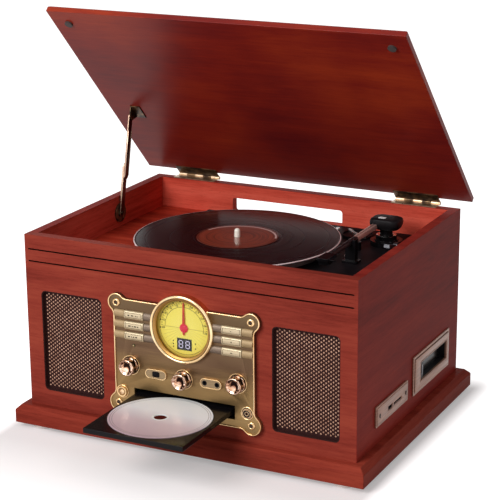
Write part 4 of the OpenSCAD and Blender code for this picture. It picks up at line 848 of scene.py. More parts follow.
def turned(profile, steps=48, ring=False):
    """A shape turned about Z from (radius, height) points. A ring's profile returns to its start."""
    bm = bmesh.new()
    rows = []
    for radius, height in profile:
        at_pole = radius < 0.001 * mm
        if at_pole:
            rows.append([bm.verts.new((0, 0, height))] * steps)
        else:
            turns = [2 * math.pi * k / steps for k in range(steps)]
            rows.append([bm.verts.new((radius * math.cos(a), radius * math.sin(a), height)) for a in turns])
    for low, high in zip(rows, rows[1:] + (rows[:1] if ring else [])):
        for i in range(steps):
            j = (i + 1) % steps
            corners = list(dict.fromkeys((low[i], low[j], high[j], high[i])))
            if len(corners) > 2:
                bm.faces.new(corners)
    mesh = bpy.data.meshes.new("turned")
    bm.to_mesh(mesh)
    bm.free()
    return mesh


def in_mm(*points):
    return [(a * mm, b * mm) for a, b in points]


def on_front(x, z, out=0.0):
    return ON_FRONT @ at(x, z, out)


rib_w = button_h + 0.2 * mm
rib_h = 2.6 * mm
rib_end = fascia_w / 2 - 1.5 * mm
rib_sink = 0.2 * mm
rib_gap = 0.7 * mm
rib_places = {"inner": [], "outer": []}


def rib(start, end):
    """A half-round rib along X, on the fascia's face."""
    across = spread(-rib_w / 2, rib_w / 2, 12)
    return relief(spread(start, end, 1), across, lambda x, y: crown(y, rib_w, rib_h), -rib_sink)


for z in button_rows:
    for side in (-1, 1):
        flip = Matrix.Scale(side, 4, (1, 0, 0))
        inner = rib(0.0, button_x - button_w / 2 - rib_gap)
        for vertex in inner.vertices:
            if vertex.co.x < 0.1 * mm:
                vertex.co.x = math.sqrt((bezel_r - 0.3 * mm) ** 2 - (z - dial_z + vertex.co.y) ** 2)
        outer = rib(button_x + button_w / 2 + rib_gap, rib_end)
        for where, mesh in (("inner", inner), ("outer", outer)):
            rib_places[where].append((mesh, on_front(0, z, fascia_t) @ flip))
dull = Finish("dull_brass", srgb(122, 104, 88), roughness=0.46, metallic=0.4)
dull_brush = dull.brushed(9.0, (4.0, 300.0, 300.0))
dull.give("Base Color", dull.ramp(dull_brush, (0.3, srgb(98, 84, 74)), (0.7, srgb(140, 120, 100))))
dull.give("Roughness", 0.36 + dull_brush * 0.2)
pale_gold = Finish("pale_gold", srgb(172, 146, 108), roughness=0.46, metallic=0.2)
gold_brush = pale_gold.brushed(10.0, (4.0, 260.0, 260.0))
gold_tones = ((0.3, srgb(150, 124, 86)), (0.7, srgb(188, 160, 118)))
pale_gold.give("Base Color", pale_gold.ramp(gold_brush, *gold_tones))
pale_gold.give("Roughness", 0.42 + gold_brush * 0.2)
mount("fascia_ribs_inner", rib_places["inner"], dull, "cabinet", "antique_brass", sharp=60)
mount("fascia_ribs_outer", rib_places["outer"], pale_gold, "cabinet", "light_gold", sharp=60)

knob_r = 10.5 * mm
collar_section = ((0, -0.2), (1.0, -0.2), (1.0, 0.75), (0.75, 1.0), (0.25, 1.0), (0, 0.75))
collars = []
for x, z in knob_places:
    profile = [(knob_r + (0.5 + a) * mm, b * mm) for a, b in collar_section]
    collars.append((turned(profile, 64, ring=True), on_front(x, z, fascia_t)))
for side in (-1, 1):
    profile = [(round_r + (0.35 + a * 1.25) * mm, b * mm) for a, b in collar_section]
    collars.append((turned(profile, 48, ring=True), on_front(side * round_x, round_z, fascia_t)))
oval_rise = 1.8 * mm
oval_rim = 2.2 * mm
jack_outlines = [round_outline(3.05 * mm, *spot, 24) for spot in jack_spots]
oval_plates = []
for side, openings in ((-1, [window_hole]), (1, jack_outlines)):
    inner_w = oval_w - oval_rim
    inner_h = oval_h - oval_rim
    edge = oblong(oval_w, oval_h, oval_h / 2.02, side * oval_x, oval_z, 12)
    inner = oblong(inner_w, inner_h, inner_h / 2.02, side * oval_x, oval_z, 12)
    collars.append((plate([edge, inner], -rib_sink, oval_rise, 0.25 * mm), on_front(0, 0, fascia_t)))
    field = plate([inner, *openings], -rib_sink, oval_rise - 0.5 * mm)
    oval_plates.append((field, on_front(0, 0, fascia_t)))
mount("fascia_collars", collars, bright, "cabinet", "bright_brass")
oval_brass = Finish("oval_brass", srgb(150, 126, 94), roughness=0.45, metallic=0.4)
oval_brush = oval_brass.brushed(9.0, (4.0, 60.0, 300.0))
oval_tones = ((0.3, srgb(140, 116, 84)), (0.7, srgb(166, 142, 108)))
oval_brass.give("Base Color", oval_brass.ramp(oval_brush, *oval_tones))
mount("oval_plates", oval_plates, oval_brass, "cabinet", "antique_brass")

# The fascia's small fittings: four round-headed screws, each with a shallow hollow whose dark floor is
# painted shade, the dark window of the remote receiver in the left oval, and the indicator lamp under the
# left buttons.


def repeated(name, finish, mesh, places, matrix):
    """One mesh set at several places by Geometry Nodes, then put where the matrix says."""
    pattern = bpy.data.objects.new("pattern", mesh)
    spots = bpy.data.meshes.new("spots")
    spots.from_pydata([Vector(place).to_3d() for place in places], [], [])
    holder = bpy.data.objects.new("spots", spots)

    def build(node, sizes):
        shape = node("GeometryNodeObjectInfo", inputs={"Object": pattern}, out="Geometry")
        spot = node("GeometryNodeObjectInfo", inputs={"Object": holder}, out="Geometry")
        inputs = {"Points": spot, "Instance": shape, "Scale": sizes["Size"]}
        return node("GeometryNodeInstanceOnPoints", inputs=inputs)

    piece = grow(name, finish, {"Size": (1.0, 1.0, 1.0)}, build, matrix)
    for spent in (pattern, holder):
        bpy.data.objects.remove(spent)
    piece.data.polygons.foreach_set("use_smooth", [True] * len(piece.data.polygons))
    piece.data.set_sharp_from_angle(angle=math.radians(arris_angle))
    return piece


def outward(mesh):
    """The same mesh with its doubles merged and its faces turned outwards."""
    bm = bmesh.new()
    bm.from_mesh(mesh)
    bmesh.ops.remove_doubles(bm, verts=bm.verts, dist=weld_gap)
    bmesh.ops.recalc_face_normals(bm, faces=bm.faces)
    bm.to_mesh(mesh)
    bm.free()
    return mesh


screw_places = [(s * lobe_x, z) for s in (-1, 1) for z in (fascia_bottom + lobe_drop, fascia_top - lobe_drop)]
screw_profile = in_mm(
    (0, 0.5), (2.3, 0.5), (2.5, 1.5), (2.9, 1.8), (3.8, 1.7), (4.5, 1.1), (4.9, 0.4), (4.9, -0.1), (0, -0.1),
)
recess_profile = in_mm((0, 0.75), (2.3, 0.75), (2.45, 0.4), (0, 0.4))
at_fascia = on_front(0, 0, fascia_t)
screws = repeated("fascia_screw_heads", bright, outward(turned(screw_profile, 32)), screw_places, at_fascia)
fitted(screws, "cabinet", "bright_brass", "fascia_screws")
# Dark tarnished brass for the seams and the small screws, and painted shade on the floor of each fascia
# screw's hollow.
tarnish_and_shade = Finish("tarnished_and_shaded_brass", srgb(62, 46, 36), roughness=0.5, metallic=0.6)
tarnish_and_shade.uneven(0.4, 0.3, 400.0, 2.0)
# The dark disc in each screw head's hollow is painted shade.
recess_shade = outward(turned(recess_profile, 32))
fitted(repeated("screw_recesses", tarnish_and_shade, recess_shade, screw_places, at_fascia), "cabinet", "antique_brass")
smoked = Finish("smoked_plastic", srgb(10, 7, 9), roughness=0.2, specular=0.1)
smoked.uneven(0.08, 0.1, 60.0, 2.0)
window_gap = 0.2 * mm
pane_outline = oblong(window_w - window_gap, window_h - window_gap, 2.1 * mm)
window = plate([pane_outline], -2 * mm, 1.1 * mm, 0.3 * mm)
window_place = on_front(-oval_x, oval_z, fascia_t)
mount("receiver_window", [(window, window_place)], smoked, "cabinet", "black_plastic")
amber = Finish("lamp_amber", srgb(176, 128, 70), roughness=0.2, coat=0.5)
amber.uneven(0.14, 0.2, 500.0, 1.0)
lamp_profile = in_mm((0, 1.1), (0.6, 1.02), (1.1, 0.75), (1.44, 0.2), (1.44, -3), (0, -3))
lamp_lens = turned(lamp_profile, 24)
lens_place = on_front(*led_place, fascia_t)
mount("indicator_lamp", [(lamp_lens, lens_place)], amber, "cabinet", "light_gold")

# The tuning dial: a heavy gilt bezel round a printed yellow plate, with a red needle on the shaft of the
# tuning capacitor and a flat glass over both. A two-figure channel display shows through the plate.
bezel_profile = in_mm(
    (36.4, 0.1), (41, 0.1), (41, 8.3), (40.75, 9.3), (40.1, 10.0), (39.2, 10.3), (38.4, 10.2), (37.8, 9.8),
    (37.5, 9.3), (37.2, 9.3), (36.9, 9.45), (36.4, 9.3), (34.3, 7.9), (34, 7.6), (34, 5.65), (36.4, 5.65),
)
gilt = Finish("bezel_gilt", srgb(226, 190, 138), roughness=0.2, metallic=1.0)
bezel_x, _, bezel_up = gilt.axes((0.0, 0.0, dial_z))
bezel_reach = hypot(bezel_x, bezel_up) / mm
bezel_face = 37.6
bezel_slope = 36.9
gilt_tone = gilt.ramp(gilt.noise(40.0, 3.0), (0.3, srgb(216, 180, 128)), (0.7, srgb(246, 222, 178)))
gilt_tone = gilt.mix(bezel_reach < bezel_face, gilt_tone, srgb(52, 34, 22))
gilt.give("Base Color", gilt.mix(bezel_reach < bezel_slope, gilt_tone, srgb(164, 124, 70)))
gilt.give("Roughness", 0.16 + (bezel_reach < bezel_face) * 0.25)
bezel = turned(bezel_profile, 128, ring=True)
at_dial = on_front(0, dial_z)
mount("bezel", [(bezel, at_dial)], gilt, "cabinet", "bright_brass", "dial_bezel", sharp=50)
dial_r = bezel_r - 4.6 * mm
dial_t = 1.2 * mm
printed = Finish("dial_print", srgb(238, 226, 104), roughness=0.45, specular=0.3)
dial_x, _, dial_up = printed.axes((0.0, 0.0, dial_z))
reach = hypot(dial_x, dial_up) / dial_r
turn = dial_up.math("ARCTAN2", dial_up, dial_x)
ray_reach = 0.8
rays_per_radian = 6.0
thin_ring_at = 0.685
edge_ring_at = 0.885
ring_half = 0.008
rays = turn * rays_per_radian
# The plate is painted darker and more ochre towards its rim: painted shade under the bezel.
yellows_shaded_at_rim = (
    (0.0, srgb(255, 242, 124)), (0.62, srgb(254, 238, 112)), (0.84, srgb(246, 226, 100)),
    (0.93, srgb(226, 196, 84)), (1.0, srgb(180, 144, 62)),
)
face = printed.ramp(reach, *yellows_shaded_at_rim)
level_line = (abs(dial_up + 0.5 * mm) < 0.35 * mm) * (reach < ray_reach)
ray = (abs(rays.math("FRACT", rays) - 0.5) < 0.045 / (reach + 0.15)) * (turn < -0.2)
ray = ray * (reach < ray_reach) * (reach > 0.2)
thin_ring = (abs(reach - thin_ring_at) < ring_half) * (turn > -0.12)
edge_ring = abs(reach - edge_ring_at) < ring_half
for mask, strength, line in (
    (level_line, 0.6, srgb(170, 146, 60)), (ray, 0.5, srgb(190, 168, 66)),
    (thin_ring, 0.9, srgb(96, 84, 40)), (edge_ring, 0.8, srgb(110, 90, 44)),
):
    face = printed.mix(mask * strength, face, line)
printed.give("Base Color", face)
# The printed plate glows faintly: painted light that brightens it.
printed.give("Emission Color", face)
printed.give("Emission Strength", 0.12)
printed.bump(printed.noise(2600.0, 2.0), 0.01 * mm)
dress(printed, "dial_plate")

print_t = 0.06 * mm
ink = Finish("dial_ink", srgb(36, 30, 18), roughness=0.55, specular=0.2)
ink.mottled(900.0, 2.0, (0.3, srgb(28, 22, 14)), (0.7, srgb(48, 40, 24)))


def lettering(text, size):
    """Figures in the default typeface, as a thin plate centred on the origin."""
    curve = bpy.data.curves.new("figures", "FONT")
    curve.body = text
    curve.size = size / mm
    curve.align_x = "CENTER"
    curve.align_y = "CENTER"
    curve.extrude = print_t / mm / 2
    curve.resolution_u = 3
    holder = added(bpy.data.objects.new("figures", curve))
    bpy.context.view_layer.update()
    mesh = bpy.data.meshes.new_from_object(holder.evaluated_get(bpy.context.evaluated_depsgraph_get()))
    mesh.transform(Matrix.Scale(mm, 4))
    bpy.data.objects.remove(holder)
    return mesh


def tick_ring(node, sizes):
    """Short bars round a circle, each laid along its radius."""
    bar = node("GeometryNodeMeshCube", inputs={"Size": sizes["Bar"]})
    circle = node("GeometryNodeMeshCircle", inputs={"Vertices": sizes["Count"], "Radius": sizes["Radius"]})
    place = node("GeometryNodeInputPosition")
    turn = node("FunctionNodeAlignEulerToVector", {"axis": "X"}, {"Vector": place})
    height = node("ShaderNodeSeparateXYZ", inputs={0: place}, out=1)
    chosen = node("FunctionNodeCompare", {"operation": "GREATER_THAN"}, {0: height, 1: sizes["Above"]})
    inputs = {"Points": circle, "Selection": chosen, "Instance": bar, "Rotation": turn}
    return node("GeometryNodeInstanceOnPoints", inputs=inputs)


tick_share = 0.8
tick_sizes = {
    "Bar": (1.7 * mm, 0.45 * mm, print_t), "Count": 60, "Radius": tick_share * dial_r, "Above": -5.0 * mm,
}
print_out = dial_t + print_t / 2
ticks = grow("dial_ticks", ink, tick_sizes, tick_ring, on_front(0, dial_z, print_out))
fitted(ticks, "cabinet", "dial_face")
scale = ("88", "90", "92", "94", "96", "98", "100", "102", "104", "106", "108")
scale_start = 186
scale_sweep = 192
figure_h = 3.7 * mm
figure_share = 0.745
dot_share = 0.865
dot_r = 0.95 * mm
small_dot_r = 0.8 * mm
display_z = 137.6 * mm


def round_scale(share, count):
    """Places on an arc round the dial, from its low left to its low right."""
    spots = []
    for index in range(count):
        angle = math.radians(scale_start - scale_sweep * index / (count - 1))
        x = share * dial_r * math.cos(angle)
        spots.append(on_front(x, dial_z + share * dial_r * math.sin(angle), print_out))
    return spots


def dot(radius):
    return plate([round_outline(radius, steps=12)], -print_t / 2, print_t / 2)


figure_spots = round_scale(figure_share, len(scale))
figures = [(lettering(text, figure_h), spot) for text, spot in zip(scale, figure_spots)]
figures += [(dot(dot_r), spot) for spot in round_scale(dot_share, 12)]
for x, z in ((14.5, 2.6), (14.5, -3.4), (-14.5, 2.8), (-14.5, -1), (-14.5, -4.4)):
    figures.append((dot(small_dot_r), on_front(x * mm, display_z + z * mm, print_out)))
mount("dial_figures", figures, ink, "cabinet", "dial_face")
hand_red = Finish("needle_red", srgb(206, 28, 36), roughness=0.3, coat=0.3)
hand_x, _, hand_up = hand_red.axes((0.0, 0.0, dial_z))
hand_tone = hand_red.ramp(hand_red.noise(160.0, 2.0), (0.3, srgb(196, 40, 18)), (0.7, srgb(222, 60, 30)))
on_hub = hypot(hand_x, hand_up) < 5.4 * mm
hand_red.give("Base Color", hand_red.mix(on_hub, hand_tone, srgb(236, 26, 62)))
hub_profile = in_mm((0, 1.15), (2.0, 1.1), (4.2, 0.85), (5.3, 0.4), (5.4, 0), (0, 0))
needle_out = dial_t + 1 * mm
needle_outline = in_mm(
    (-1.2, -7.4), (0, -8.6), (1.2, -7.4), (1.9, 0), (0.8, 30.6), (0, 31.2), (-0.8, 30.6), (-1.9, 0),
)
needle = plate([[Vector(p) for p in needle_outline]], 0.1 * mm, 0.8 * mm, 0.1 * mm)
at_shaft = on_front(0, dial_z, needle_out)
needle_parts = [(turned(hub_profile, 40), at_shaft), (needle, at_shaft)]
mount("needle", needle_parts, hand_red, "dial_pointer", "needle_red", "dial_pointer")
glass = Finish("dial_glass_clear", srgb(30, 30, 30), roughness=0.03, specular=0.35)
glass.give("Alpha", 0.03 + glass.noise(8.0, 1.0) * 0.02)
dress(glass, "dial_glass")
display = Finish("display_black", srgb(12, 12, 22), roughness=0.2)
display.uneven(0.16, 0.1, 300.0, 1.0)
display_w = 18.7 * mm
display_h = 13.7 * mm
display_face = plate([oblong(display_w, display_h, 0.3 * mm)], 0.2 * mm, 1.75 * mm, 0.1 * mm)
at_display = on_front(0, display_z)
mount("channel_display", [(display_face, at_display)], display, "cabinet", "black_plastic")
lilac = Finish("display_segments", srgb(226, 222, 244), roughness=0.4)
lilac_tones = ((0.3, srgb(184, 174, 214)), (0.7, srgb(216, 208, 236)))
lilac.give("Emission Color", lilac.ramp(lilac.noise(500.0, 1.0), *lilac_tones))
lilac.give("Emission Strength", 0.35)
segment_w = 0.85 * mm
digit_w = 4.7 * mm
digit_h = 8.6 * mm
digit_x = 4.4 * mm
segment_gap = 0.9 * mm
segment_low = 1.7 * mm
segment_high = 1.83 * mm
upright_edge = oblong(segment_w, digit_h / 2 - segment_gap, segment_w / 2.1)
level_edge = oblong(digit_w - segment_gap, segment_w, segment_w / 2.1)
long_bar, cross_bar = [plate([edge], segment_low, segment_high) for edge in (upright_edge, level_edge)]
segments = []
for digit in (-1, 1):
    bars = [(long_bar, x, z) for z in (0.25, -0.25) for x in (-0.5, 0.5)]
    bars += [(cross_bar, 0, z) for z in (0.5, 0, -0.5)]
    for bar, x, z in bars:
        segments.append((bar, on_front(digit * digit_x + x * digit_w, display_z + z * digit_h)))
mount("display_figures", segments, lilac, "cabinet", "dial_face")

# The push buttons: six half-round keys in line with the ribs, and a round power button low on the left.
# Each is gilt, with a fine frame pressed into its face. The power button stands in a collar.
button_rise = rib_h + 0.7 * mm
key_rise = 1.4 * mm
button_back = 8 * mm
frame_in = 1.5 * mm
frame_w = 0.5 * mm
frame_sink = 0.5 * mm
frame_slope = 0.15 * mm


def keyed(half):
    """Grid lines along half a key's side: its rounded end, the pressed frame and the middle."""
    frame_out = frame_in + frame_w
    marks = (0.0, 0.25 * mm, frame_in - frame_slope, frame_in, frame_out, frame_out + frame_slope)
    ends = [-half + mark for mark in marks]
    middle = spread(ends[-1], -ends[-1], 8)
    return ends[:-1] + middle + [-end for end in reversed(ends[:-1])]


def key_height(x, y):
    """A key's crowned face, lower in the pressed frame and at its very edge."""
    height = fascia_t + crown(y, button_h, key_rise) + button_rise - key_rise
    nearest = min(button_w / 2 - abs(x), button_h / 2 - abs(y))
    if frame_in - 0.05 * mm < nearest < frame_in + frame_w + 0.05 * mm:
        height -= frame_sink
    return height - 0.3 * mm * (nearest < 0.1 * mm)


key_gold = Finish("key_gold", srgb(200, 184, 150), roughness=0.32, metallic=0.35)
key_x, _, key_up = key_gold.axes((0.0, 0.0, button_rows[2] - row_pitch / 2))
key_level = key_up / row_pitch
aside = button_w / 2 - abs(abs(key_x) - button_x)
above = button_h / 2 - abs(key_level.math("FRACT", key_level) - 0.5) * row_pitch
inset = aside.math("MINIMUM", aside, above)
# The pressed frame line on each key is painted dark: painted shade in its groove.
frame_shade = (inset > frame_in) * (inset < frame_in + frame_w)
key_brush = key_gold.brushed(10.0, (4.0, 260.0, 260.0))
key_tone = key_gold.ramp(key_brush, (0.3, srgb(188, 168, 132)), (0.7, srgb(226, 208, 174)))
key_gold.give("Base Color", key_gold.mix(frame_shade * 0.85, key_tone, srgb(64, 50, 36)))
key_gold.give("Roughness", 0.26 + key_brush * 0.2)
mark_sets = {
    "left_top": [(-6, 2.2, 1.6), (-1, 3, 1.2), (3.4, 1, 1.6), (5.6, 1, 1.6)],
    "left_middle": [(-5, 3, 1.4), (-1.2, 1.4, 1.4), (2.4, 3, 1.4), (6, 1.6, 1.4)],
    "left_low": [(-6, 2.6, 1.5), (-2.8, 1.2, 1.5), (0, 1.8, 1.5), (3.6, 2.6, 1.5)],
    "right_top": [(0, 1.2, 0.9)], "right_middle": [(0.3, 1.4, 1.4)], "right_low": [(0.3, 2.6, 0.9)],
}
for side, label in ((-1, "left"), (1, "right")):
    for row, level in enumerate(("top", "middle", "low")):
        body = f"button_{label}_{level}"
        key = relief(keyed(button_w / 2), keyed(button_h / 2), key_height, -button_back)
        place = on_front(side * button_x, button_rows[row])
        mount(f"key_{label}_{level}", [(key, place)], key_gold, body, "light_gold", body, sharp=50)
        key_top = place @ at(0, 0, fascia_t + button_rise)
        marks = []
        for x, w, h in mark_sets[f"{label}_{level}"]:
            marks.append((plate([oblong(w * mm, h * mm, 0.3 * mm, x * mm)], -0.25 * mm, print_t), key_top))
        mount(f"key_marks_{label}_{level}", marks, ink, body, "black_plastic")
power_profile = in_mm(
    (0, 7.35), (2.6, 7.35), (2.9, 7.15), (3.2, 7.15), (3.5, 7.35), (4.4, 7.3), (4.8, 7.9), (5.2, 8),
    (6.1, 8), (6.45, 7.6), (6.5, 7), (6.5, -8), (0, -8),
)
power_gilt = Finish("power_gilt", srgb(220, 180, 130), roughness=0.2, metallic=1.0)
power_x, _, power_up = power_gilt.axes((-round_x, 0.0, round_z))
power_reach = hypot(power_x, power_up) / mm
overlay = power_gilt.noise(320.0, 3.0)
power_tones = ((0.4, srgb(110, 78, 52)), (0.5, srgb(190, 146, 104)), (0.6, srgb(240, 208, 166)))
power_tone = power_gilt.mix(power_reach > 3.0, power_gilt.ramp(overlay, *power_tones), srgb(150, 112, 72))
power_gilt.give("Base Color", power_gilt.mix(power_reach > 4.7, power_tone, srgb(232, 198, 148)))
power_gilt.give("Roughness", 0.16 + overlay * 0.16)
at_power = on_front(-round_x, round_z)
power = turned(power_profile, 48)
mount("power_key", [(power, at_power)], power_gilt, "power_button", "light_gold", "power_button")

# The sockets: a gilt headphone socket with an eight-sided nut, and two small ones set in black plastic.
plated = Finish("socket_plating", srgb(196, 166, 132), roughness=0.14, metallic=1.0)
plated.uneven(0.1, 0.14, 300.0, 2.0)
nut_profile = in_mm((4.9, -0.1), (6.5, -0.1), (6.5, 1.2), (6.1, 1.6), (4.9, 1.6))
sleeve_profile = in_mm((4.3, -10), (5.1, -10), (5.1, 2.2), (4.9, 2.5), (4.5, 2.5), (4.3, 2.2))
core_profile = in_mm((1.8, -10), (2.7, -10), (2.7, 1.9), (2.5, 2.1), (2.0, 2.1), (1.8, 1.9))
phones = on_front(round_x, round_z, fascia_t)
socket_parts = [(turned(nut_profile, 8, ring=True), phones)]
socket_parts += [(turned(profile, 40, ring=True), phones) for profile in (sleeve_profile, core_profile)]
small_places = [on_front(*spot, fascia_t) for spot in jack_spots]
mount("socket_metal", socket_parts, plated, "cabinet", "jack_metal", "front_jacks")
seat_profile = in_mm((2.7, -10), (4.3, -10), (4.3, 1.5), (2.7, 1.2))
bore_profile = in_mm((0, -10), (1.8, -10), (1.8, -9.4), (0, -9.4))
small_profile = in_mm((1.9, -8), (3.0, -8), (3.0, 1.5), (2.85, 1.7), (2.1, 1.7), (1.9, 1.4))
plastic_parts = [(turned(seat_profile, 40, ring=True), phones), (turned(bore_profile, 24), phones)]
plastic_parts += [(turned(small_profile, 32, ring=True), place) for place in small_places]
small_bores = [place @ at(0, 0, 2 * mm) for place in small_places]
plastic_parts += [(turned(bore_profile, 24), place) for place in small_bores]
mount("socket_plastic", plastic_parts, black, "cabinet", "black_plastic")

# The knobs: turned brass, gilt and polished, with a hollowed face inside a raised lip and a waisted
# skirt. Each is pressed on the shaft of its control behind the fascia.
rose = Finish("knob_gilt", srgb(226, 190, 162), roughness=0.12, metallic=1.0)
# The knobs' colour is a painted reflection: dark and bright patches set by the way each face looks.
knob_facing = rose.node("ShaderNodeTexCoord", out="Normal")
painted_sheen = rose.noise(2.6, 1.0, knob_facing, distortion=0.8) * 0.8 + rose.noise(70.0, 3.0) * 0.2
rose_tones = (
    (0.45, srgb(34, 20, 16)), (0.49, srgb(150, 104, 78)), (0.55, srgb(214, 168, 136)),
    (0.6, srgb(250, 226, 206)),
)
rose.give("Base Color", rose.ramp(painted_sheen, *rose_tones))
rose.uneven(0.08, 0.12, 300.0, 2.0)
knob_profile = in_mm(
    (0, 10.15), (2, 10.2), (4, 10.4), (6, 10.8), (7.4, 11.35), (8.1, 11.85), (8.5, 12), (9.2, 12),
    (9.7, 11.75), (10, 11.2), (10, 10.3), (9.7, 9.8), (9.3, 9.4), (9.2, 8), (9.2, 4.4), (9.35, 3.3),
    (10.2, 2.7), (10.5, 2.2), (10.5, 0.2), (10.3, 0), (0, 0),
)
knob_out = fascia_t + 0.3 * mm
for kind, place in zip(("volume", "mode", "tuning"), knob_places):
    knob = turned(knob_profile, 64)
    body = kind + "_knob"
    mount(kind + "_cap", [(knob, on_front(*place, knob_out))], rose, body, "bright_brass", body, sharp=45)

# The electronics: green boards behind the fascia and on the bottom panel, with the amplifier's heat sink
# and the transformer. They show only through the slots and with the panels off.
solder_mask = Finish("solder_mask", srgb(34, 84, 48), roughness=0.35, specular=0.4)
trace = solder_mask.noise(160.0, 2.0, distortion=1.5)
board_greens = ((0.42, srgb(26, 70, 40)), (0.5, srgb(46, 104, 58)), (0.6, srgb(30, 78, 44)))
solder_mask.give("Base Color", solder_mask.ramp(trace, *board_greens))
solder_mask.bump(trace, 0.05 * mm)
dress(solder_mask, "circuit_boards")

# The disc drive: a black housing with rails, and a thin glossy tray with a dished seat and a window for
# the lens. The disc is polycarbonate, printed pale on top and mirrored underneath. Its print is painted
# darker and pinker towards its front edge, painted shade, and its underside is painted in rainbow
# colours, a painted reflection.
dress(black, "disc_drive")
gloss_black = Finish("gloss_black", srgb(18, 16, 18), roughness=0.16, specular=0.12)
gloss_black.uneven(0.12, 0.12, 35.0, 3.0)
gloss_black.bump(gloss_black.noise(700.0, 2.0), 0.008 * mm)
softened("disc_tray", "tray", gloss_black, 0.5 * mm, "disc_tray", "black_plastic")
disc_low, disc_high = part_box("disc")
disc_x = (disc_low.x + disc_high.x) / 2
disc_y = (disc_low.y + disc_high.y) / 2
disc_r = (disc_high.x - disc_low.x) / 2
disc_profile = in_mm(
    (7.5, 0.1), (7.6, 0), (8, 0), (59.4, 0), (59.8, 0), (60, 0.2), (60, 1.0), (59.8, 1.2), (59.4, 1.2),
    (8, 1.2), (7.6, 1.2), (7.5, 1.1),
)
silvered = Finish("disc_print", srgb(246, 246, 250), roughness=0.3, coat=0.1)
across, along, _ = silvered.axes((disc_x, disc_y, 0.0))
disc_reach = hypot(across, along) / disc_r
top_side = silvered.facing(2) > -0.5
# Painted shade: the print grows darker and pinker towards the disc's front edge.
shade_front_to_back = along / disc_r * 0.5 + 0.5
label_tones = (
    (0.0, srgb(198, 168, 178)), (0.35, srgb(222, 200, 208)), (0.62, srgb(250, 250, 255)),
    (1.0, srgb(252, 255, 255)),
)
label_color = silvered.ramp(shade_front_to_back, *label_tones)
fine = (abs(disc_reach - 0.955) < 0.008) + (abs(disc_reach - 0.915) < 0.007)
label_color = silvered.mix(fine * 0.6, label_color, srgb(136, 130, 134))
hub_ring = (disc_reach < 0.165) * 0.9
label_color = silvered.mix(hub_ring, label_color, srgb(246, 246, 246))
# The mirrored underside is painted in rainbow colours round the hole: a painted reflection.
turning = along.math("ARCTAN2", along, across) * 1.27
rainbow_reflection_tones = (
    (0.0, srgb(188, 190, 200)), (0.2, srgb(200, 170, 200)), (0.35, srgb(160, 200, 190)),
    (0.5, srgb(204, 204, 176)), (0.7, srgb(180, 184, 204)), (1.0, srgb(188, 190, 200)),
)
data_color = silvered.ramp(turning.math("FRACT", turning), *rainbow_reflection_tones)
silvered.give("Base Color", silvered.mix(top_side, data_color, label_color))
silvered.give("Metallic", (1.0 - top_side) * 0.9)
silvered.give("Roughness", 0.16 + top_side * 0.2)
disc_place = at(disc_x, disc_y, disc_low.z)
disc = turned(disc_profile, 128, ring=True)
mount("compact_disc", [(disc, disc_place)], silvered, "disc", "disc_face", "disc")

# The record deck: a black moulded plate with the bearing, an adapter seat and two switch slots, and a
# turned aluminium platter that carries a rubber mat. A small motor drives it by a belt inside the skirt.
plate_black = Finish("deck_plate_black", srgb(24, 20, 23), roughness=0.5, specular=0.05)
plate_black.bump(plate_black.noise(900.0, 2.0), 0.02 * mm)
softened("turntable_plate", "deck_plate", plate_black, 0.5 * mm, "cabinet", "black_plastic")
record_low, record_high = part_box("record")
spindle = Vector(((record_low.x + record_high.x) / 2, (record_low.y + record_high.y) / 2, 0))
alloy = Finish("platter_alloy", srgb(190, 188, 186), roughness=0.3, metallic=1.0)
alloy_x, alloy_y, alloy_z = alloy.axes((spindle.x, spindle.y, 0.0))
alloy_reach = hypot(alloy_x, alloy_y)
rings = alloy.node("ShaderNodeCombineXYZ", inputs={0: alloy_reach * 900.0, 1: alloy_z * 900.0})
turning = alloy.noise(1.0, 2.0, rings)
# The spindle above the record is painted near white and not metallic: a painted highlight.
spindle_highlight = (alloy_reach < 4 * mm) * (alloy_z > record_low.z)
alloy_tone = alloy.ramp(turning, (0.3, srgb(170, 168, 166)), (0.7, srgb(206, 204, 202)))
alloy.give("Base Color", alloy.mix(spindle_highlight, alloy_tone, srgb(255, 250, 236)))
alloy.give("Metallic", 1.0 - spindle_highlight)
alloy.give("Roughness", 0.22 + turning * 0.2)
dress(alloy, "platter")
mat_rubber = Finish("mat_rubber", srgb(30, 28, 28), roughness=0.75, specular=0.25)
mat_x, mat_y, _ = mat_rubber.axes((spindle.x, spindle.y, 0.0))
mat_turns = hypot(mat_x, mat_y) * 1600.0
ribs = mat_turns.math("SINE", mat_turns)
mat_tones = ((0.2, srgb(22, 20, 20)), (0.8, srgb(38, 36, 36)))
mat_rubber.give("Base Color", mat_rubber.ramp(ribs * 0.5 + 0.5, *mat_tones))
mat_rubber.bump(ribs, 0.15 * mm)
dress(mat_rubber, "platter_mat")
dress(rubber, "drive_belt")
dress(bright, "motor_pulley")

# The record: pressed black vinyl with a raised bead at its edge, shallow bands between its pieces, and a
# paper label in a sunk seat. The label's rings are a plain pattern.
vinyl = Finish("vinyl", srgb(16, 10, 13), roughness=0.24, specular=0.22)
vinyl_x, vinyl_y, _ = vinyl.axes((spindle.x, spindle.y, 0.0))
vinyl_reach = hypot(vinyl_x, vinyl_y)
vinyl_rings = vinyl.node("ShaderNodeCombineXYZ", inputs={0: vinyl_reach * 420.0})
groove_noise = vinyl.noise(1.0, 1.0, vinyl_rings)
record_r = (record_high.x - record_low.x) / 2 / mm
vinyl_tone = vinyl.ramp(groove_noise, (0.35, srgb(15, 9, 12)), (0.65, srgb(25, 16, 20)))
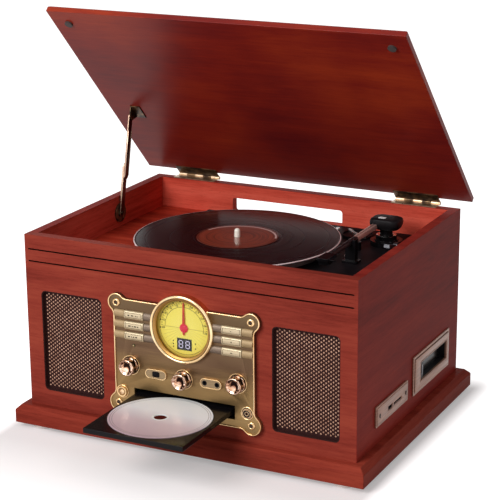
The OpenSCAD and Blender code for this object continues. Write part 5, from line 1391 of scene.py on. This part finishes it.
# The outermost 1.3 mm of the record is painted pale: a painted highlight on its rounded bead.
vinyl.give("Base Color", vinyl.mix(vinyl_reach > (record_r - 1.3) * mm, vinyl_tone, srgb(236, 212, 212)))
vinyl.give("Roughness", 0.2 + groove_noise * 0.12)
groove_turns = vinyl_reach * 9000.0
vinyl.bump(groove_turns.math("SINE", groove_turns), 0.002 * mm, 0.4)
hole_r = 3.8
label_r = 50.0
vinyl_t = 1.15
seat_t = 1.05
record_profile = [(hole_r, 0.1), (label_r, 0.1), (label_r + 1, 0.2)]
record_edge = (
    (-3, 0.2), (-1.5, 0.02), (-0.4, 0.15), (0, 0.6), (-0.2, 1.2), (-0.9, 1.5), (-1.8, 1.45), (-3, vinyl_t),
    (-3.5, vinyl_t),
)
record_profile += [(record_r + a, b) for a, b in record_edge]
band_t = 1.12
dip = ((1.1, vinyl_t), (0.7, vinyl_t), (0.4, band_t), (-0.4, band_t), (-0.7, vinyl_t), (-1.1, vinyl_t))
for band in (112.0, 97.0, 84.0, 70.0):
    record_profile += [(band + a, b) for a, b in dip]
record_profile += [(57.5, vinyl_t), (57, vinyl_t), (56, seat_t), (label_r + 1.2, seat_t)]
record_profile += [(label_r + 0.5, 1.25), (hole_r, 1.25)]
record_place = at(spindle.x, spindle.y, record_low.z)
pressing = turned(in_mm(*record_profile), 192, ring=True)
mount("pressing", [(pressing, record_place)], vinyl, "platter", "vinyl", "record", sharp=50)
paper = Finish("label_paper", srgb(112, 48, 36), roughness=0.35, coat=1.0, specular=0.3)
paper_x, paper_y, _ = paper.axes((spindle.x, spindle.y, 0.0))
paper_reach = hypot(paper_x, paper_y) / (label_r * mm)
swirl_inputs = {0: paper_reach * 16.0, 1: paper_x * 9.0, 2: paper_y * 20.0}
swirl = paper.noise(1.0, 3.0, paper.node("ShaderNodeCombineXYZ", inputs=swirl_inputs))
ringed = paper.ramp(swirl, (0.38, srgb(104, 44, 32)), (0.5, srgb(156, 76, 56)), (0.62, srgb(128, 58, 42)))
for centre, half in ((0.97, 0.02), (0.76, 0.008), (0.56, 0.008)):
    ringed = paper.mix((abs(paper_reach - centre) < half) * 0.7, ringed, srgb(52, 20, 16))
# A pale arc near the label's far edge is a painted highlight.
glint = hypot(paper_x, paper_y + 1.2 * mm) / (label_r * mm)
painted_glint = (abs(glint - 0.955) < 0.022) * (paper_y > 12 * mm)
paper.give("Base Color", paper.mix(painted_glint * 0.9, ringed, srgb(246, 222, 216)))
paper.bump(paper.noise(1800.0, 2.0), 0.01 * mm)
label_top = 1.48
label_profile = in_mm(
    (hole_r, 1.2), (label_r, 1.2), (label_r, 1.42), (label_r - 0.2, label_top), (label_r - 0.6, label_top),
    (hole_r + 0.5, label_top), (hole_r + 0.1, label_top), (hole_r, 1.4),
)
label = turned(label_profile, 128, ring=True)
mount("record_label", [(label, record_place)], paper, "platter", "vinyl")

# The tonearm: a black post with its bearing and rest, a moulded counterweight housing that tilts on the
# turret, a pressed channel tube, and a headshell with its cartridge. A lever lifts the arm on a bar.
arm_x = 142 * mm
arm_y = 99 * mm
housing_w = 38 * mm
housing_d = 30 * mm
tube_x = 131.5 * mm
tube_z = 230 * mm
softened("arm_base", "arm_post", gloss_black, 0.4 * mm, "cabinet", "black_plastic")
dress(gloss_black, "arm_turret")


def level(w, d, corner, z):
    """A rounded rectangle at a height, as one ring of a loft."""
    return [p.to_3d() + Vector((0, 0, z)) for p in oblong(w, d, corner, steps=3)]


def housing_ring(inset, corner, z):
    return level(housing_w - 2 * inset * mm, housing_d - 2 * inset * mm, corner * mm, z * mm)


housing_foot = 226.0
cap_joint = 237.4
housing_rows = ((3.2, housing_foot), (1.4, 228.2), (0.3, 231.5), (0.0, 234.5), (0.4, cap_joint))
cap_rows = ((0.41, cap_joint), (1.2, 238.7), (3.0, 239.6), (4.4, 239.75))
shell = [housing_ring(inset, 8, z) for inset, z in housing_rows]
shell += [level(17.2 * mm, 22 * mm, 1 * mm, z * mm) for z in (cap_joint, housing_foot)]
cap = [housing_ring(inset, 7.6, z) for inset, z in cap_rows]
over_arm = at(arm_x, arm_y)
housing = [(loft(shell), over_arm), (loft(cap, closed=False), over_arm)]
mount("arm_housing", housing, black, "tonearm", "black_plastic", "tonearm", sharp=30)
pin_mesh = turned(in_mm((0, -11), (1.8, -11), (2, -10.8), (2, 10.8), (1.8, 11), (0, 11)), 24)
pin_z = 232 * mm
pin_place = at(arm_x, arm_y, pin_z) @ Matrix.Rotation(math.pi / 2, 4, "Y")
inlay_edge = oblong(9.5 * mm, 6.4 * mm, 2.0 * mm, -4 * mm, -4.5 * mm)
inlay = plate([inlay_edge], 239.5 * mm, 239.98 * mm, 0.1 * mm)
white = Finish("inlay_white", srgb(255, 255, 255), roughness=0.2)
white.uneven(0.16, 0.1, 400.0, 1.0)
mount("housing_inlay", [(inlay, over_arm)], white, "tonearm", "lever_metal")
tube_metal = Finish("arm_tube_metal", srgb(206, 162, 150), roughness=0.32, metallic=0.3)
tube_grain = tube_metal.noise(14.0, 4.0, tube_metal.stretched((300.0, 4.0, 300.0)))
tube_across, tube_along, _ = tube_metal.axes((tube_x, 0.0, 0.0))
groove_line = abs(tube_across) < 0.6 * mm
tube_tone = tube_metal.ramp(tube_grain, (0.3, srgb(190, 146, 136)), (0.7, srgb(226, 182, 170)))
tube_tone = tube_metal.mix(groove_line, tube_tone, srgb(64, 40, 38))
# In front of this point the tube is painted nearly black and is not metallic.
dark_front_end = 26 * mm
tube_metal.give("Base Color", tube_metal.mix(tube_along < dark_front_end, tube_tone, srgb(26, 18, 20)))
tube_metal.give("Metallic", (tube_along > dark_front_end) * 0.3)
tube_metal.give("Roughness", 0.28 + tube_grain * 0.15)
tube_section = (
    (-0.2, -1.0), (0.2, -1.0), (0.75, -0.9), (0.97, -0.6), (1.0, 0.3), (0.85, 0.8), (0.6, 0.95),
    (0.2, 0.95), (0.14, 0.7), (-0.14, 0.7), (-0.2, 0.95), (-0.6, 0.95), (-0.85, 0.8), (-1.0, 0.3),
    (-0.97, -0.6), (-0.75, -0.9),
)
tube_rows = []
for y, half_w, half_h in ((88, 3.6, 3.2), (84, 3.9, 3.4), (30, 3.8, 3.3), (-40, 2.9, 2.6), (-46, 2.7, 2.4)):
    tube_rows.append([(tube_x + a * half_w * mm, y * mm, tube_z + b * half_h * mm) for a, b in tube_section])
tube_parts = [(loft(tube_rows, closed=False), Matrix.Identity(4)), (pin_mesh, pin_place)]
mount("arm_tube", tube_parts, tube_metal, "tonearm", "arm_metal", sharp=35)
softened("cartridge", "headshell", gloss_black, 0.35 * mm, "tonearm", "black_plastic")
polished = Finish("lever_steel", srgb(206, 204, 202), roughness=0.16, metallic=1.0)
polished.uneven(0.12, 0.14, 200.0, 2.0)
dress(polished, "lift_bar")
handle_steel = Finish("handle_steel", srgb(96, 96, 100), roughness=0.3, metallic=0.8)
handle_steel.uneven(0.24, 0.16, 200.0, 2.0)
softened("cue_lever", "cue_handle", handle_steel, 0.35 * mm, "cue_lever", "lever_metal")
collar = turned(in_mm((8.4, 0), (12.6, 0), (12.6, 0.6), (12.2, 0.9), (8.8, 0.9), (8.4, 0.6)), 48, ring=True)
collar_place = at(arm_x, arm_y, 217.4 * mm)
mount("turret_ring", [(collar, collar_place)], polished, "arm_turret", "lever_metal")

# The switches: two ribbed slides in slots of the deck plate, for the speed and the automatic stop, with
# plain figures printed beside them, and the small screws that hold the plate down.
slide_grey = Finish("slide_grey", srgb(74, 74, 80), roughness=0.4, specular=0.5)
slide_grey.uneven(0.34, 0.14, 900.0, 2.0)
ridge_pitch = 1.9 * mm
for body, word in (("speed_switch", "speed"), ("autostop_switch", "autostop")):
    softened(body, f"{word}_slide", slide_grey, 0.3 * mm, body, "black_plastic")
    low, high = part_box(body)
    middle = (low + high) / 2
    ridge = plate([oblong(7 * mm, 0.8 * mm, 0.3 * mm)], -0.1 * mm, 0.5 * mm, 0.1 * mm)
    ridges = [(ridge, at(middle.x, middle.y + k * ridge_pitch, high.z)) for k in (-1, 0, 1)]
    mount(f"{word}_slide_ridges", ridges, slide_grey, body, "black_plastic")
plate_top = 205.5 * mm
on_plate = at(0, 0, plate_top)
words_x = 167 * mm
word_h = 3.6 * mm
figures = []
for text, y in (("33", 19), ("45", 14), ("78", 9), ("ON", -21), ("OFF", -27)):
    figures.append((lettering(text, word_h), at(words_x, y * mm, plate_top + print_t / 2)))
switch_x = 178 * mm
switch_frame = [oblong(13 * mm, 22 * mm, 1.5 * mm), oblong(12.4 * mm, 21.4 * mm, 1.2 * mm)]
for y in (14, -24):
    figures.append((plate(switch_frame, 0, print_t), at(switch_x, y * mm, plate_top)))
mount("deck_figures", figures, lilac, "cabinet", "lever_metal")
deck_screws = in_mm((120, -84), (192, -84), (192, 44), (60, 138), (192, 138), (118, 30))
screw_profile = in_mm((0, 0.5), (0.9, 0.5), (1.0, 1.1), (2.2, 1.1), (2.9, 0.5), (3.0, -0.1), (0, -0.1))
screw = outward(turned(screw_profile, 24))
fitted(repeated("deck_screws", polished, screw, deck_screws, on_plate), "cabinet", "lever_metal")

# The right side: a stepped pressed plate round the cassette mouth, with a black box, a sprung flap and an
# eject key behind it, and a smaller plate with the two card openings between two screws.
champagne = Finish("champagne_plate", srgb(196, 160, 138), roughness=0.36, metallic=0.25)
pressed = champagne.noise(12.0, 5.0, champagne.stretched((1.0, 3.0, 60.0)))
champagne.give("Base Color", champagne.ramp(pressed, (0.3, srgb(132, 94, 78)), (0.7, srgb(178, 134, 112))))
champagne.give("Roughness", 0.3 + pressed * 0.2)
side_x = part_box("right_panel")[1].x
SIDEWAYS = Matrix(((0, 0, 1, 0), (1, 0, 0, 0), (0, 1, 0, 0), (0, 0, 0, 1)))
ON_RIGHT = at(side_x, 0) @ SIDEWAYS
cassette_y = 67 * mm
cassette_z = 73.5 * mm
mouth_y = 72.5 * mm
mouth_w = 89 * mm
mouth_h = 23.5 * mm
cassette_w = 122 * mm
cassette_h = 49 * mm
border_out = 1.9 * mm
field_out = 2.9 * mm
groove_out = 1.2 * mm
lip_out = 3 * mm


def trimmed(trim):
    """The outline of the cassette plate, less a strip all round."""
    return oblong(cassette_w - 2 * trim, cassette_h - 2 * trim, 0.6 * mm, cassette_y, cassette_z)


def mouth_edge(grown, corner):
    return oblong(mouth_w + grown, mouth_h + grown, corner, mouth_y, cassette_z)


wide_mouth = mouth_edge(3 * mm, 0.8 * mm)
lip = mouth_edge(2.2 * mm, 0.8 * mm)
cassette_parts = [
    (plate([trimmed(0), trimmed(3 * mm)], 0, border_out, 0.35 * mm), ON_RIGHT),
    (plate([trimmed(3.9 * mm), wide_mouth], 0, field_out, 0.4 * mm), ON_RIGHT),
    (plate([trimmed(2.9 * mm), wide_mouth], 0, groove_out), ON_RIGHT),
    (plate([lip, mouth_edge(0, 0.5 * mm)], 0, lip_out, 0.3 * mm), ON_RIGHT),
]
mount("cassette_surround", cassette_parts, champagne, "cabinet", "side_plate", "cassette_plate")
seams = [
    (plate([trimmed(2.95 * mm), trimmed(3.85 * mm)], groove_out, 1.3 * mm), ON_RIGHT),
    (plate([wide_mouth, lip], 0.5 * mm, 1.6 * mm), ON_RIGHT),
]
mount("cassette_seams", seams, tarnish_and_shade, "cabinet", "side_plate")
dress(black, "cassette_deck")
softened("cassette_door", "cassette_flap", gloss_black, 0.3 * mm, "cassette_door", "black_plastic")
softened("eject_button", "eject_key", black, 0.4 * mm, "eject_button", "black_plastic")
key_low, key_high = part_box("eject_button")
grip_grey = Finish("eject_grey", srgb(150, 150, 160), roughness=0.35, coat=0.2)
grip_grey.uneven(0.3, 0.12, 500.0, 1.0)
bow = arc((-9 * mm, 0), 11 * mm, -40, 40, steps=12)
bow_in = arc((-9.6 * mm, 0), 10 * mm, 40, -40, steps=12)
bow += [Vector((p.x * 0.86 + 0.1 * mm, p.y * 0.9)) for p in bow_in]
grip = plate([bow], 0, 0.7 * mm, 0.15 * mm)
grip_out = key_high.x - side_x - 0.05 * mm
grip_place = ON_RIGHT @ at(key_low.y + 7.5 * mm, cassette_z, grip_out)
mount("eject_grip", [(grip, grip_place)], grip_grey, "eject_button", "lever_metal")
card_y = -62 * mm
card_z = 64.5 * mm
card_w = 98 * mm
card_h = 25 * mm
card_trim = 3.6 * mm
card_back = -12 * mm
slot_z = 63.5 * mm
bolt_x = 40 * mm
card_slots = ((12.4, 4.8, -70), (24.4, 2.6, -47))


def slots(grown, corner):
    """The outlines of the two card openings, grown by a width in millimetres."""
    outlines = []
    for w, h, y in card_slots:
        outlines.append(oblong((w + grown) * mm, (h + grown) * mm, corner * mm, y * mm, slot_z, 3))
    return outlines


card_mesh = plate([oblong(card_w, card_h, 0.8 * mm, card_y, card_z), *slots(0, 0.6)], 0, 2.2 * mm, 0.3 * mm)
card_inner = oblong(card_w - card_trim, card_h - card_trim, 0.6 * mm, card_y, card_z)
card_field = plate([card_inner, *slots(1, 0.6)], 2.1 * mm, 3 * mm, 0.35 * mm)
card_parts = [(card_mesh, ON_RIGHT), (card_field, ON_RIGHT)]
mount("card_surround", card_parts, champagne, "cabinet", "side_plate", "card_plate")
card_inside = []
for outer, (w, h, y) in zip(slots(-0.1, 0.5), card_slots):
    inner = oblong((w - 1.2) * mm, (h - 1.0) * mm, 0.3 * mm, y * mm, slot_z, 3)
    card_inside.append((plate([outer, inner], card_back, 1.9 * mm), ON_RIGHT))
    card_inside.append((plate([outer], -12.6 * mm, card_back), ON_RIGHT))
tongue = oblong(10.6 * mm, 1.6 * mm, 0.2 * mm, -70 * mm, 64.2 * mm)
card_inside.append((plate([tongue], -11.9 * mm, -0.6 * mm), ON_RIGHT))
mount("card_sockets", card_inside, black, "cabinet", "black_plastic")
card_screws = [(card_y + s * bolt_x, card_z) for s in (-1, 1)]
on_card = ON_RIGHT @ at(0, 0, 3 * mm)
bolt_mesh = outward(turned(in_mm((0, 0.7), (1.5, 0.6), (2.2, 0.2), (2.3, -0.2), (0, -0.2)), 24))
# Each screw's slot is a dark bar laid on its head: painted shade.
slot_shade_mesh = plate([oblong(0.9 * mm, 5.4 * mm, 0.3 * mm)], 0.3 * mm, 0.75 * mm)
bolts = repeated("card_screw_heads", tarnish_and_shade, bolt_mesh, card_screws, on_card)
fitted(bolts, "cabinet", "side_plate")
fitted(repeated("card_screw_slots", black, slot_shade_mesh, card_screws, on_card), "cabinet", "side_plate")

# The rear sockets: a black plate screwed to the rear panel, with a two-pin mains inlet and the two phono
# sockets of the line output, one ringed white and one red.
softened("rear_sockets", "socket_panel", black, 0.3 * mm, "cabinet", "black_plastic")
rear_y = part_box("rear_panel")[1].y
ON_REAR = at(0, rear_y, 0) @ Matrix.Rotation(-math.pi / 2, 4, "X")
sleeve = turned(in_mm((4.2, 0), (4.6, 0), (4.6, 8.6), (4.4, 8.9), (4.2, 8.9)), 32, ring=True)
washer = turned(in_mm((4.7, 0), (6.6, 0), (6.6, 0.5), (6.4, 0.7), (4.7, 0.7)), 32, ring=True)
red = Finish("socket_red", srgb(176, 28, 28), roughness=0.35)
red.uneven(0.3, 0.1, 600.0, 1.0)
panel_t = 1.5 * mm
phono_z = -89.5 * mm
ON_PANEL = ON_REAR @ at(0, 0, panel_t)
phono_spots = [ON_PANEL @ at(x * mm, phono_z) for x in (-107, -89)]
mount("phono_sleeves", [(sleeve, spot) for spot in phono_spots], plated, "cabinet", "jack_metal")
for spot, finish, label in zip(phono_spots, (white, red), ("white", "red")):
    mount(f"phono_ring_{label}", [(washer, spot)], finish, "cabinet", "jack_metal")
panel_screws = [(x * mm, z * mm) for x in (-161, -79) for z in (-104, -75)]
screws = repeated("socket_panel_screws", polished, bolt_mesh, panel_screws, ON_PANEL)
fitted(screws, "cabinet", "jack_metal")

# The lid's fittings: two five-knuckle butt hinges of pressed brass, and a stay of two channel arms. Its
# foot turns on a round rose inside the left wall, its head on an ear that is screwed to the lid.
# Darker aged brass for the stay's rose and ear, and painted shade on the lid's hinge leaves.
aged_and_shaded_brass = Finish("aged_and_shaded_brass", srgb(96, 70, 50), roughness=0.36, metallic=0.85)
aged_and_shaded_brass.mottled(160.0, 3.0, (0.4, srgb(44, 30, 22)), (0.62, srgb(112, 88, 62)))
aged_and_shaded_brass.uneven(0.28, 0.2, 300.0, 2.0)
hinge_brass = Finish("hinge_brass", srgb(196, 168, 138), roughness=0.28, metallic=0.9)
hinge_brass.mottled(90.0, 3.0, (0.3, srgb(164, 134, 106)), (0.7, srgb(216, 190, 160)))
hinge_brass.uneven(0.22, 0.18, 300.0, 2.0)
dress(hinge_brass, "hinge_case_leaves")
# The lid's leaves take the darker brass: painted shade under the lid.
dress(aged_and_shaded_brass, "hinge_lid_leaves")
softened("stay_case_bracket", "stay_rose", aged_and_shaded_brass, 0.3 * mm, "cabinet", "antique_brass")
softened("stay_lid_bracket", "stay_ear", aged_and_shaded_brass, 0.25 * mm, "lid", "antique_brass")
foot = Vector((38 * mm, 221.5 * mm))
head = Vector((62.96 * mm, 342.87 * mm))
stay_angle = math.atan2(head.y - foot.y, head.x - foot.x)
stay_span = (head - foot).length
upper_len = 70 * mm
lower_len = stay_span - upper_len
strap_w = 9 * mm
strap_t = 1.6 * mm
flange_t = 0.9 * mm
past_pivot = 6 * mm
lower_x = -200.7 * mm
upper_x = -198.8 * mm
stay_brass = Finish("stay_brass", srgb(190, 158, 136), roughness=0.3, metallic=0.85)
stay_tones = ((0.3, srgb(172, 138, 118)), (0.7, srgb(214, 184, 160)))
stay_tone = stay_brass.ramp(stay_brass.noise(80.0, 3.0), *stay_tones)
# The flat faces of the straps are painted dark: painted shade.
shaded_flat_sides = abs(stay_brass.facing(0)) > 0.7
stay_brass.give("Base Color", stay_brass.mix(shaded_flat_sides, stay_tone, srgb(72, 36, 28)))


def channel_arm(pivot, angle, length, x, clear, flange_h):
    """A strap with a pivot hole, and flanges along its edges that start clear of the pivot."""
    place = at(x, pivot.x, pivot.y) @ Matrix.Rotation(angle, 4, "X") @ SIDEWAYS
    end = length + past_pivot
    strap_outline = oblong(end + strap_w, strap_w, strap_w / 2.01, end / 2, 0, 8)
    strap = plate([strap_outline, round_outline(2.1 * mm, steps=24)], 0, strap_t, 0.15 * mm)
    parts = [(strap, place)]
    low, high = sorted((strap_t / 2, strap_t / 2 + flange_h))
    for side in (-1, 1):
        edge = side * (strap_w - flange_t) / 2
        flange = oblong(end - clear, flange_t, 0.2 * mm, (end + clear) / 2, edge, 2)
        parts.append((plate([flange], low, high, 0.1 * mm), place))
    return parts


lower = channel_arm(foot, stay_angle, lower_len, lower_x, 15 * mm, -1.6 * mm)
upper = channel_arm(head, stay_angle + math.pi, upper_len, upper_x, 18 * mm, 1.4 * mm)
mount("stay_arm_lower", lower, stay_brass, "stay_lower_arm", "antique_brass", "stay_lower_arm")
mount("stay_arm_upper", upper, stay_brass, "stay_upper_arm", "antique_brass", "stay_upper_arm")

sizes = [[list(corner) for corner in box] for box in (cad_box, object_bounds())]
